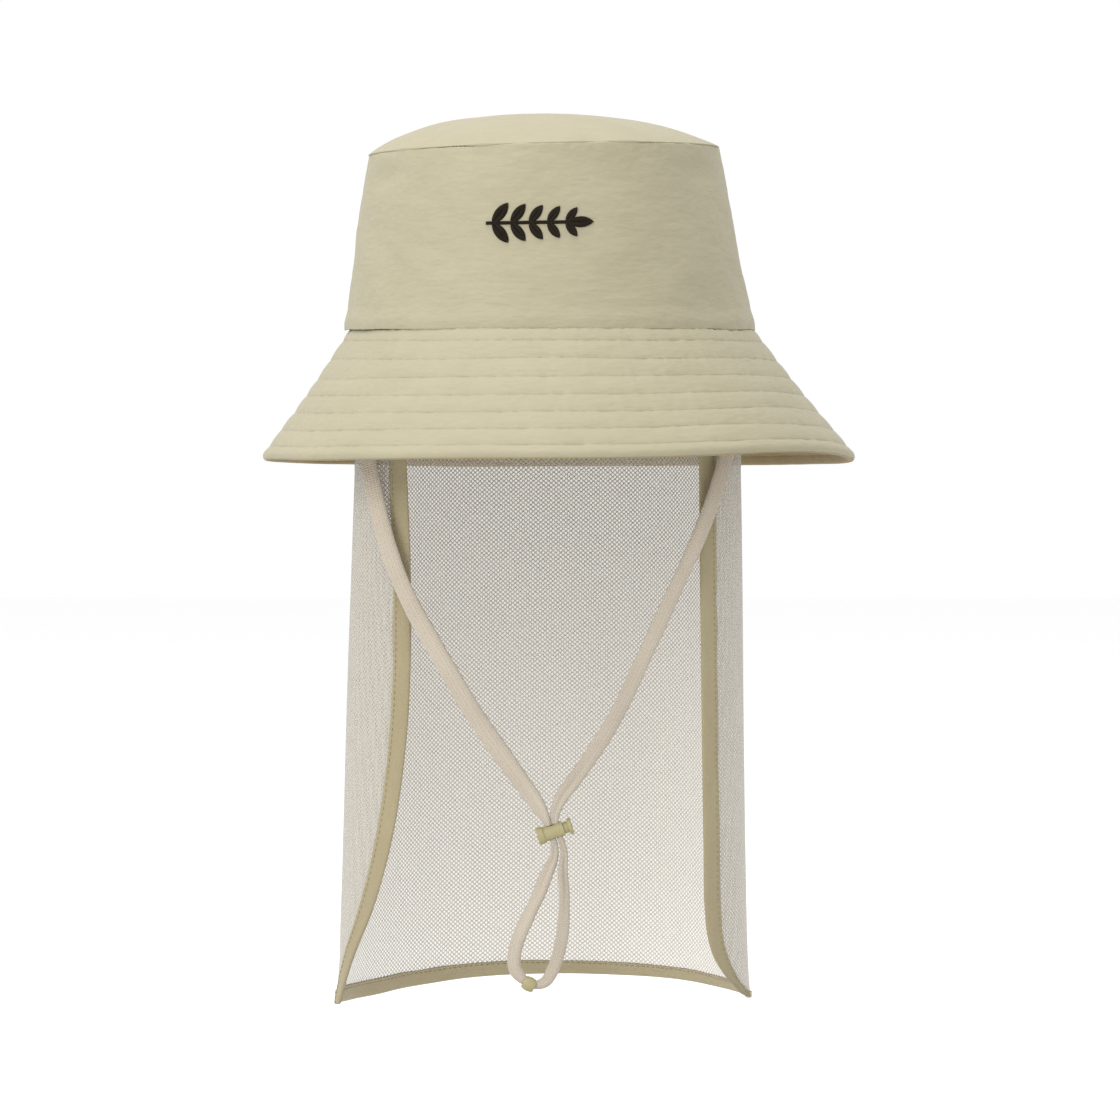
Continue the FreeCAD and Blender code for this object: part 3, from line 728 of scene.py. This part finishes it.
def anchor_tabs():
    """Folded tabs that hold the strands' top ends, closed with a bar tack."""
    for side in ("left", "right"):
        low, high = box_mm(f"cord_anchor_{side}")
        route = CORD_ROUTES[f"chin_cord_{side}_upper"]
        middle = (low + high) / 2
        turn = math.atan2(route[0][1] * OPENING[0] ** 2, route[0][0] * OPENING[1] ** 2)
        out = np.array([math.cos(turn), math.sin(turn), 0.0])
        wide = np.array([-out[1], out[0], 0.0])
        angle = full_turn(24)
        levels = np.linspace(-1, 1, 15)[:, None]
        swell = 1 - 0.12 * levels**2 - 0.1 * (np.abs(levels) > 0.99)
        half_wide = 4.8
        half_thick = 1.35
        rings = (
            middle
            + wide * (half_wide * swell * blunt(np.cos(angle), 0.45))[..., None]
            + out * (half_thick * swell * blunt(np.sin(angle), 0.6))[..., None]
            + UP * (levels * (high[2] - low[2]) / 2)[..., None]
        )
        piece = tube(f"cord_anchor_{side}_tab", rings, stacked(levels * 3.5, angle * 3.8), TAPE)
        stands_for(f"cord_anchor_{side}")
        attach(piece, "hat")
        places = np.linspace(-3.6, 3.6, 19)
        for face, label in ((1.0, "out"), (-1.0, "in")):
            spot = middle + out * face * (half_thick * 0.95) - UP * 1.2
            starts = spot + wide * places[:, None] - UP * 0.7
            facing = np.tile(out * face, (19, 1))
            name = f"cord_anchor_{side}_tack_{label}"
            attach(threads(name, starts, starts + UP * 1.4, facing, 0.2, 0.15, TAPE_THREAD), "hat")


# --- Crown ----------------------------------------------------------------------------------------
def crown_point(angle, z, offset=0.0):
    """Point of the crown's side before its creases, some way outside its surface."""
    share = z / CROWN_HEIGHT
    half_x = OPENING[0] + (CROWN_TOP[0] - OPENING[0]) * share + offset
    half_y = OPENING[1] + (CROWN_TOP[1] - OPENING[1]) * share + offset
    x = CROWN_TOP_MIDDLE * share + half_x * np.cos(angle)
    return stacked(x, half_y * np.sin(angle), z + CROWN_TILT * share * x)


def crown_crease(angle, z):
    """How far the side stands out or in: a slack bow, soft dents and fine sideways crinkle."""
    share = np.clip(z / CROWN_HEIGHT, 0, 1)
    turn = angle / (2 * np.pi)
    bow = -0.35 * np.sin(np.pi * share) + 0.5 * bump_at(share, 0.05, 0.04) - 0.2
    bow = bow + 1.1 * np.sin(np.pi * share) * np.clip(-np.cos(angle), 0, 1)
    slack = 0.7 * soft_noise(turn * 11, share * 2.2, 1, 11) * np.sin(np.pi * np.clip(share, 0.02, 0.98))
    folds = 0.42 * soft_noise(turn * 26, share * 5.0 + turn * 6, 2, 26)
    crinkle = 0.11 * soft_noise(turn * 70, share * 26, 3, 70)
    crinkle = crinkle + 0.05 * soft_noise(turn * 160, share * 40, 4, 160)
    corner_at = bump_at(angle, -2.62, 0.16) + 0.6 * bump_at(angle, -0.55, 0.16)
    corners = -2.1 * bump_at(share, 0.86, 0.07) * corner_at
    drag = 0.4 * bump_at(share, 0.5, 0.3) * soft_noise(turn * 40 + share * 7, share * 3, 6)
    near_seam = bump_at(share, 0.98, 0.03) + bump_at(share, 0.02, 0.02)
    pucker = 0.09 * soft_noise(turn * 190, share * 0, 7, 190) * near_seam
    side_seam = -0.9 * bump_at(np.sin(angle), 0.0, 0.010)
    total = bow + slack + folds + crinkle + corners + drag + pucker + side_seam
    return np.maximum(total, -0.75 - 1.6 * lining_room(z))


def lining_room(z):
    """0 where the sweatband holds the lining close to the side, 1 where it hangs free above it."""
    return np.clip((z - 34.0) / 14.0, 0, 1)


def crown_side(angle_from, angle_to, columns):
    """Grid of one side panel, from its rolled lower edge to its rolled top edge."""
    roll = np.radians(np.linspace(-90, 0, 5))
    low = [(SEAM_ROLL * (math.cos(a) - 1), SEAM_ROLL * (1 + math.sin(a)) - 0.3) for a in roll]
    top = CROWN_HEIGHT - SEAM_ROLL
    middle = [(0.0, z) for z in np.linspace(low[-1][1], top, 60)[1:-1]]
    high = [(SEAM_ROLL * (math.cos(-a) - 1), top + SEAM_ROLL * math.sin(-a)) for a in roll[::-1]]
    profile = np.array(low + middle + high)
    angle = np.linspace(angle_from, angle_to, columns)[:, None]
    offset, z = profile.T[:, None]
    points = crown_point(angle, z, offset)
    points += grid_normals(points, False) * crown_crease(angle, z)[..., None]
    return points, stacked(angle * OPENING.mean(), z)


def build_crown():
    """Front and back side panels, the top seam's stitches, and the dome with its lining."""
    halves = (("crown_front_panel", -np.pi, 0.0), ("crown_back_panel", 0.0, np.pi))
    for name, start, end in halves:
        points, uv = crown_side(start, end, 380)
        piece = shell(name + "_cloth", points, False, 0.6, uv, SHELL)
        hat_cloth(piece, name)
    angle = full_turn(SEAM_STEPS)
    height = np.full(SEAM_STEPS, CROWN_HEIGHT - 0.1)
    outward = unit(stacked(np.cos(angle) * OPENING[1], np.sin(angle) * OPENING[0], 20.0))
    line = crown_point(angle, height, -0.2) + outward * crown_crease(angle, height)[:, None]
    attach(sew("crown_top_stitching", [stitch_row(line, outward, 1.9, 1.2)], TAPE_THREAD, 0.15, 0.0), "hat")
    build_dome("crown_top_panel", 0.0, SHELL, wrinkled=1.0)
    build_dome("crown_lining_top", 1.6, LINING, wrinkled=1.4)


def build_dome(name, inset, material, wrinkled):
    """Oval top with radial gathers that run in from its seam."""
    tucked = ((0.75, -0.4), (0.35, -0.1), (0.2, 0.35))
    rim = [(1 - (place + inset) / CROWN_TOP[0], lift) for place, lift in tucked]
    outer = [0.99 - inset / CROWN_TOP[0], 0.975, 0.95]
    shares = np.concatenate([outer, np.linspace(0.925, 0.02, 40), [0.001]])
    rise = [(s, DOME_RISE * (1 - s**DOME_POWER) ** DOME_SHOULDER - inset * 0.8) for s in shares]
    profile = np.array(rim + rise)
    angle = full_turn(720)[:, None]
    share, lift = profile.T[:, None]
    x = CROWN_TOP_MIDDLE + 0.5 * (1 - share) + CROWN_TOP[0] * share * np.cos(angle)
    y = CROWN_TOP[1] * share * np.sin(angle)
    points = stacked(x, y, CROWN_HEIGHT + lift + CROWN_TILT * x * share**6)
    turn = angle / (2 * np.pi)
    inwards = np.clip(1 - share, 0, 1)
    fade = np.clip((share - 0.25) / 0.5, 0, 1)
    gathers = soft_noise(turn * 46 + inwards * 2, inwards * 2.0, 8, 46) * 0.40
    gathers += soft_noise(turn * 110, inwards * 4.0, 9, 110) * 0.16 * bump_at(share, 0.95, 0.12)
    drift = (soft_noise(x / 38, y / 38, 10) * 0.45 - 0.25) * (1 - share**6)
    pucker = 0.12 * soft_noise(turn * 190, share * 0, 11, 190) * bump_at(share, 0.975, 0.02)
    normals = grid_normals(points, True)
    points = points + normals * (wrinkled * (gathers * fade + drift) + pucker)[..., None]
    piece = shell(name + "_cloth", points, True, 0.5, stacked(x, y), material, normals)
    hat_cloth(piece, name)


def build_lining():
    """Lining and sweatband inside the crown, with the band's two stitch rows."""
    angle = full_turn(360)[:, None]
    heights = np.linspace(0.4, CROWN_HEIGHT - 0.8, 40)[None]
    offset = -1.5 - 1.7 * lining_room(heights) * np.clip((CROWN_HEIGHT - heights) / 6.0, 0.1, 1)
    points = crown_point(angle, heights, offset)
    turn = angle / (2 * np.pi)
    slack = 0.3 * soft_noise(turn * 30, heights / 20, 12, 30) - 0.3
    points += grid_normals(points, True) * slack[..., None]
    uv = stacked(angle * OPENING.mean(), heights)
    piece = shell("crown_lining_side_cloth", points, True, 0.3, uv, LINING)
    hat_cloth(piece, "crown_lining_side")

    low, high = box_mm("sweatband")
    profile = np.array(
        [(-2.6, low[2] + 0.5), (-2.9, low[2]), (-3.4, low[2] + 0.6)]
        + [(-3.5, z) for z in np.linspace(low[2] + 2, high[2] - 2, 26)]
        + [(-3.4, high[2] - 0.6), (-2.9, high[2]), (-2.6, high[2] - 0.5)]
    )
    offset, z = profile.T[:, None]
    edge_pull = bump_at(z, low[2] + 3.0, 1.0) + bump_at(z, high[2] - 3.0, 1.0)
    offset = offset + 0.25 * edge_pull + 0.15 * soft_noise(turn * 60, z / 9, 13, 60) * (offset < -3.3)
    points = crown_point(angle, z, offset)
    band = shell("sweatband_cloth", points, True, 0.35, stacked(angle * OPENING.mean(), z), BAND)
    hat_cloth(band, "sweatband")
    rows = []
    for height in (low[2] + 3.0, high[2] - 3.0):
        line = crown_point(angle[:, 0], height, -3.35)
        inward = unit(-line * np.array([1.0, 0.8, 0.0]))
        rows.append(stitch_row(line, inward))
    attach(sew("sweatband_stitching", rows, TAPE_THREAD), "hat")


def build_label():
    """Blank woven label, folded and sewn along its top edge."""
    low, high = box_mm("care_label")
    x = np.linspace(low[0], high[0], 30)[:, None]
    down = np.linspace(0, 1, 20)
    y = high[1] - 0.05 - 0.8 * down**2 * (0.6 + 0.4 * np.cos(x / 9))
    z = high[2] - (high[2] - low[2]) * down
    to_wearer = [0.0, -1.0, 0.0]
    facing = np.tile(to_wearer, (30, 20, 1))
    piece = shell("care_label_cloth", stacked(x, y, z), False, 0.3, stacked(x, z), LABEL, facing)
    hat_cloth(piece, "care_label")
    line = stacked(np.linspace(low[0] + 1, high[0] - 1, 20), high[1] - 0.45, high[2] - 1.5)
    row = stitch_row(line, np.tile(to_wearer, (20, 1)), 2.4, 1.7, closed=False)
    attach(sew("care_label_stitching", [row], TAPE_THREAD), "hat")


# --- Brim -----------------------------------------------------------------------------------------
def brim_edge_height(angle):
    """The edge hangs lower at the back and lifts a little at the front on the wearer's left."""
    middle = brim_front_low[2] + 0.8
    slope = brim_low[2] - brim_front_low[2]
    lift = 3.4 * bump_at(angle, -0.61, 0.49) + 0.9 * bump_at(np.cos(angle), -1.0, 0.12)
    ripple = 0.35 * soft_noise(angle / (2 * np.pi) * 13, angle * 0, 20, 13)
    return middle + slope * np.sin(angle) + lift + ripple


def brim_base(angle, share):
    """Point of the brim's outer slope before its quilting, from the joint at 0 to the edge at 1."""
    half_x = OPENING[0] + (BRIM_EDGE[0] - OPENING[0]) * share
    half_y = OPENING[1] + (BRIM_EDGE[1] - OPENING[1]) * share
    sag = -1.0 * np.sin(np.pi * share)
    tuck = (0.9 + 1.7 * np.clip(-np.cos(angle), 0, 1)) * np.clip(1 - share, 0, 1) ** 0.8
    z = brim_edge_height(angle) * share
    x = BRIM_MIDDLE * share + (half_x + sag - tuck) * np.cos(angle)
    return stacked(x, (half_y + sag) * np.sin(angle), z)


def brim_wander(angle, share):
    """The stitch rows and the channels between them wander a little down the slope and back."""
    turn = angle / (2 * np.pi)
    slow = soft_noise(turn * 12, share * 5, 21, 12) * 0.009
    return share + (slow + 0.004 * soft_noise(turn * 31, share * 9, 25, 31)) * np.sin(np.pi * share) ** 0.5


def brim_puff(angle, share):
    """Height of the quilted channels between the stitch rows, with fine puckers across them."""
    turn = angle / (2 * np.pi)
    edges = [0.0] + list(BRIM_ROWS) + [1.03]
    height = np.zeros(np.broadcast(angle, share).shape)
    for low, high in zip(edges, edges[1:]):
        hump = np.sin(np.pi * np.clip((share - low) / (high - low), 0, 1)) ** 0.75
        height = np.maximum(height, hump * min(1.0, 0.4 + (high - low) * 5))
    pucker = 0.20 * soft_noise(turn * 330, share * 9, 22, 330)
    pucker = pucker + 0.16 * soft_noise(turn * 150, share * 14, 23, 150)
    slack = 0.22 * soft_noise(turn * 24, share * 3, 24, 24)
    fine = 0.10 * soft_noise(turn * 190, share * 4, 26, 190)
    fine = fine - 0.07 * sum(bump_at(share, row, 0.006) for row in BRIM_ROWS)
    return BRIM_PUFF * height + pucker * (1.1 - height) + slack + fine


def brim_surface(angle, share, upper):
    """Point of the brim's upper or lower cloth, and the normal that points up and out."""
    place = brim_wander(angle, share)
    base = brim_base(angle, place)
    nudge = 1e-3
    along = brim_base(angle + nudge, place) - base
    down = brim_base(angle, place + nudge) - base
    normal = unit(np.cross(down, along))
    taper = np.clip((1.0 - share) / 0.025, 0, 1) ** 0.5
    middle = -BRIM_BUILD / 2
    out = BRIM_BUILD / 2 - 0.65 * BRIM_PUFF + brim_puff(angle, share)
    out = middle + out * taper * (1 if upper else -1)
    return base + normal * out[..., None], normal


def build_brim():
    """Upper and lower cloth in two halves each, their stitch rows, and the felt between them."""
    near = np.array([-0.020, -0.010, -0.005, 0.0, 0.005, 0.010, 0.020])
    rows_at = np.concatenate([row + near for row in BRIM_ROWS])
    between = np.linspace(0.0, 0.97, 60)
    between = between[np.min(np.abs(between[:, None] - rows_at[None]), axis=1) > 0.006]
    edge = 1 - np.array([0.018, 0.011, 0.006, 0.002, 0.0])
    shares = np.sort(np.concatenate([rows_at, between, edge]))
    girth = 115.0
    slope = 68.0
    halves = (("front", -np.pi, 0.0), ("back", 0.0, np.pi))
    for side, upper, material, slot in (
        ("upper", True, SHELL, "nylon_shell"),
        ("lower", False, UNDER, "nylon_under"),
    ):
        for part, start, end in halves:
            angle = np.linspace(start, end, 430)[:, None]
            points, normals = brim_surface(angle, shares, upper)
            seam = bump_at(np.abs(np.sin(angle)), 0.0, 0.008)
            points = points - normals * (0.7 * seam * (1 if upper else -1))[..., None]
            if not upper:
                points = points[::-1]
                angle = angle[::-1]
            uv = stacked(angle * girth, shares * slope)
            name = f"brim_{side}_{part}"
            piece = shell(name + "_cloth", points, False, 0.4, uv, material)
            hat_cloth(piece, name)
        rows = []
        angle = full_turn(SEAM_STEPS)
        for share in BRIM_ROWS:
            line, normals = brim_surface(angle, np.full(SEAM_STEPS, share), upper)
            outward = normals if upper else -normals
            rows.append(stitch_row(line + outward * 0.10, outward))
        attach(sew(f"brim_{side}_stitching", rows, SEWING), "hat")

    angle = full_turn(240)[:, None]
    share = np.linspace(0.04, 0.88, 30)
    points = (brim_surface(angle, share, True)[0] + brim_surface(angle, share, False)[0]) / 2
    uv = stacked(angle * girth, share * slope)
    piece = shell("brim_interlining_felt", points, True, 0.7, uv, FLEECE)
    hat_cloth(piece, "brim_interlining")


# --- Neck flap --------------------------------------------------------------------------------------
# Horizontal sections: height, middle, half widths, where the straight side ends, corner radius.
FLAP_SECTIONS = np.array(
    [
        (FLAP_TOP, 0.0, 84.5, 93.5, -6.0, 81.5),
        (-60.0, -0.9, 82.5, 91.6, -34.0, 32.0),
        (-270.0, -2.4, 88.4, 89.8, -30.5, 35.5),
        (-300.0, -3.5, 90.1, 89.6, -30.0, 36.0),
    ]
)
# Front edges as seen from the front: height, and how far from the middle on each side.
LEFT_EDGE = (
    (0, -61.5), (-60, -60.0), (-110, -58.4), (-180, -61.0),
    (-216, -66.5), (-245, -74.5), (-275, -86.5), (-292, -91.3),
)
RIGHT_EDGE = (
    (0, 62.5), (-60, 63.0), (-140, 63.8), (-224, 64.8), (-253, 65.5),
    (-263, 66.6), (-273, 69.6), (-282, 75.0), (-291, 82.5),
)
# Lowest line round the flap, from the left corner over the back to the right corner.
HEM_LINE = (
    (0.0, -288.5), (0.05, -291.0), (0.12, -294.0), (0.2, -296.3), (0.25, -296.7),
    (0.3, -295.9), (0.35, -295.0), (0.4, -293.7), (0.45, -293.0), (0.5, -292.7),
    (0.65, -292.2), (0.8, -292.0), (0.9, -289.8), (0.96, -286.9), (1.0, -283.8),
)


FLAP_LOW = -291.0


def edge_at(edge, z):
    """Sideways place of a front edge at a height."""
    heights, values = np.array(edge, float).T
    return smooth_line(-heights, -np.asarray(z, float), values)


def flap_section(z, samples=1400):
    """Plan line of the flap at a height, from inside the left corner round the back to the right."""
    middle, half_x, half_y, side_end, corner = (
        np.interp(-z, -FLAP_SECTIONS[:, 0], FLAP_SECTIONS[:, k]) for k in range(1, 6)
    )
    turn = np.linspace(np.radians(88), 0, samples // 4)
    corner_x = half_x - corner
    left = np.stack([-corner_x - corner * np.cos(turn), side_end - corner * np.sin(turn)], 1)
    straight = np.stack([np.full(20, -half_x), np.linspace(side_end, 0, 22)[1:-1]], 1)
    back_turn = np.linspace(np.pi, 0, samples // 2)
    back = np.stack([half_x * np.cos(back_turn), half_y * np.sin(back_turn)], 1)
    right_straight = straight[::-1] * [-1, 1]
    right = left[::-1] * [-1, 1]
    line = np.concatenate([left, straight, back, right_straight, right])
    line[:, 0] += middle
    return line


def flap_grid(inset=0.0):
    """Points, normals and cloth coordinates of the flap between its front edges."""
    columns, rows = FLAP_STEPS
    levels = np.linspace(0, 1, rows)
    hem = np.array(HEM_LINE)
    around = np.linspace(0, 1, columns)
    hem_height = smooth_line(hem[:, 0], around, hem[:, 1])
    points = np.zeros((columns, rows, 3))
    uv = np.zeros((columns, rows, 2))
    for j, level in enumerate(levels):
        z = FLAP_TOP + (FLAP_LOW - FLAP_TOP) * level
        line = flap_section(z)
        distance = np.concatenate([[0], np.cumsum(np.hypot(*np.diff(line, axis=0).T))])
        half = len(line) // 2
        front = line[:, 1] < 0
        left_front = sorted_pair(line[:half], distance[:half], front[:half])
        right_front = sorted_pair(line[half:], distance[half:], front[half:])
        left = np.interp(edge_at(LEFT_EDGE, z) - inset, *left_front)
        right = np.interp(edge_at(RIGHT_EDGE, z) + inset, *right_front)
        places = left + (right - left) * around
        points[:, j, 0] = np.interp(places, distance, line[:, 0])
        points[:, j, 1] = np.interp(places, distance, line[:, 1])
        points[:, j, 2] = FLAP_TOP + (hem_height - FLAP_TOP) * level
        near_back = slice(half - 200, half + 200)
        back_centre = np.interp(0.0, line[near_back, 0] - line[half, 0], distance[near_back])
        uv[:, j, 0] = places - back_centre
        uv[:, j, 1] = -points[:, j, 2]
    normals = grid_normals(points, False)
    outward = np.sign((normals[..., 0] * points[..., 0] + normals[..., 1] * points[..., 1]).mean())
    normals *= outward
    level = levels[None]
    turn = around[:, None]
    drape = 1.1 * soft_noise(turn * 9, level * 1.5, 31) + 0.7 * soft_noise(turn * 19, level * 2.2, 32) - 0.3
    hang = np.clip((level - 0.12) / 0.4, 0, 1)
    points = points + normals * (drape * hang)[..., None]
    normals = grid_normals(points, False) * outward
    return points, normals, uv


def sorted_pair(line, distance, front):
    """x and distance along a plan line's front part, sorted by x, for reading one from the other."""
    x = line[front, 0]
    along = distance[front]
    order = np.argsort(x)
    return x[order], along[order]


def folded_tape(name, line, inward, normal, width, thickness, material):
    """Tape folded over an edge along a line: two flat faces with turned-in ends and a round fold between."""
    half = [
        (width - 0.5, 0.55), (width, 0.7), (width - 0.3, 0.9), (0.86 * width, 0.84), (0.6 * width, 0.97),
        (0.3 * width, 1.0), (0.8, 0.92), (0.25, 0.62),
    ]
    profile = np.array(half + [(0.0, 0.0)] + [(x, -y) for x, y in half[::-1]])
    distance = arc_lengths(line)
    sway = 1 + 0.03 * soft_noise(distance / 11.0, distance * 0, 40)[:, None]
    ripple = 0.09 * soft_noise(distance[:, None] / 2.6, profile[None, :, 0] * 0.4, 41)
    along = inward[:, None] * (profile[None, :, 0] * sway)[..., None]
    ends = np.clip(np.minimum(distance, distance[-1] - distance) / 1.5, 0.03, 1) ** 0.5
    rise = normal[:, None] * (profile[None, :, 1] * (thickness / 2 + ripple) * ends[:, None])[..., None]
    rings = line[:, None] + along + rise
    girth = arc_lengths(profile * [1, thickness / 2])
    uv = stacked(distance[:, None], girth)
    faces = grid_faces(*rings.shape[:2], False)
    return make_mesh(name, rings.reshape(-1, 3), faces, uv.reshape(-1, 2), material)


def edge_stitches(name, line, inward, normal, place, thickness):
    """A stitch row on both faces of a tape, some way in from its fold."""
    rows = []
    for face in (1, -1):
        seam = line + inward * place + normal * (face * (thickness / 2 * 0.88))
        rows.append(stitch_row(seam, normal * face, 2.6, 1.8, closed=False))
    piece = sew(name, rows, TAPE_THREAD, radius=0.16, lift=0.1)
    bend_flap(piece)
    return piece


def bend_flap(piece):
    """Bakes the piece's placement into its mesh; the piece is not bent or tied to the seam."""
    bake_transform(piece)


def build_flap():
    """Mesh panel, and the tapes folded over its four edges."""
    points, normals, _ = flap_grid()
    inside, _, uv = flap_grid(inset=1.5)
    inside[..., 2] = FLAP_TOP - 1.5 + (inside[..., 2] - FLAP_TOP) * (1 - 3.0 / 290)
    faces = grid_faces(*FLAP_STEPS, False)
    panel = make_mesh("flap_mesh_panel_cloth", inside.reshape(-1, 3), faces, uv.reshape(-1, 2), MESH)
    stands_for("flap_mesh_panel")
    bend_flap(panel)

    hem_line, hem_up = points[:, -1], unit(points[:, -2] - points[:, -1])
    trim = 7
    inner = slice(trim, -trim)
    left = (points[0], unit(points[3] - points[0]), normals[0])
    right = (points[-1], unit(points[-4] - points[-1]), normals[-1])
    low = (hem_line[inner], hem_up[inner], normals[inner, -1])
    top = (points[inner, 0], -hem_up[inner], normals[inner, 0])
    pieces = (
        ("flap_binding_left", left, BINDING_WIDE, 0.29, TAPE),
        ("flap_binding_right", right, BINDING_WIDE, 0.29, TAPE),
        ("flap_hem_binding", low, HEM_WIDE, 0.36, HEM),
        ("flap_header_tape", top, HEM_WIDE, 0.42, HEM),
    )
    for name, (line, inward, normal), width, flat, cloth in pieces:
        fine, _ = even_line(line, 1.2)
        source = arc_lengths(line)
        places = np.linspace(0, source[-1], len(fine))
        inward_fine = unit(read_line(places, source, inward))
        normal_fine = unit(read_line(places, source, normal))
        piece = folded_tape(name + "_tape", fine, inward_fine, normal_fine, width, BINDING_THICK, cloth)
        stands_for(name)
        bend_flap(piece)
        edge_stitches(name + "_stitching", fine, inward_fine, normal_fine, width - 1.2, BINDING_THICK)


# --- Embroidery ---------------------------------------------------------------------------------------
def on_crown(x, z, lift):
    """Point and normal on the crown's front above a place in the front view."""
    share = z / CROWN_HEIGHT
    half_x = OPENING[0] + (CROWN_TOP[0] - OPENING[0]) * share
    angle = -np.arccos(np.clip((x - CROWN_TOP_MIDDLE * share) / half_x, -1, 1))
    base = crown_point(angle, z, 0.15)
    normal = unit(stacked(np.cos(angle) * OPENING[1], np.sin(angle) * OPENING[0], 14.0))
    return base + normal * (crown_crease(angle, z) + lift)[..., None], normal


def build_embroidery():
    """Leaf sprig in satin stitch: threads fan from each leaf's midrib to its edges."""
    low, high = box_mm("front_embroidery")
    length = high[0] - low[0]
    centre_z = (high[2] + low[2]) / 2
    leaf_long = length * 0.233
    leaf_wide = length * 0.102
    stem_end = high[0] - leaf_long
    leaves = [(np.array([stem_end, centre_z]), 0.0, 1.0)]
    spacing = (stem_end - low[0] - 4.0) / 4
    for number in range(5):
        root = np.array([low[0] + 3.0 + number * spacing, centre_z])
        for side in (1, -1):
            leaves.append((root, side * math.radians(52), 1.0 - 0.07 * number))
    starts = []
    ends = []
    for root, angle, size in leaves:
        ahead = np.array([math.cos(angle), math.sin(angle)])
        side = np.array([-ahead[1], ahead[0]])
        for share in np.linspace(0.0, 0.93, 30):
            tip_share = min(1.0, share + 0.16)
            half = leaf_wide * size / 2 * (4 * tip_share * (1 - tip_share)) ** 0.8
            for way in (1, -1):
                starts.append(root + ahead * leaf_long * size * share - side * way * 0.12)
                ends.append(root + ahead * leaf_long * size * tip_share + side * way * half)
    for x in np.arange(low[0] + 0.3, stem_end + 1.0, 0.33):
        starts.append(np.array([x, centre_z - 0.75]))
        ends.append(np.array([x + 0.3, centre_z + 0.75]))
    first, normal = on_crown(*np.transpose(starts), 0.12)
    last, _ = on_crown(*np.transpose(ends), 0.12)
    piece = threads("front_embroidery_satin", first, last, normal, 0.2, 0.32, BLACK, spans=5)
    stands_for("front_embroidery")
    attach(piece, "hat")


build_studio()
build_cord()
anchor_tabs()
build_crown()
build_lining()
build_label()
build_brim()
build_flap()
build_embroidery()
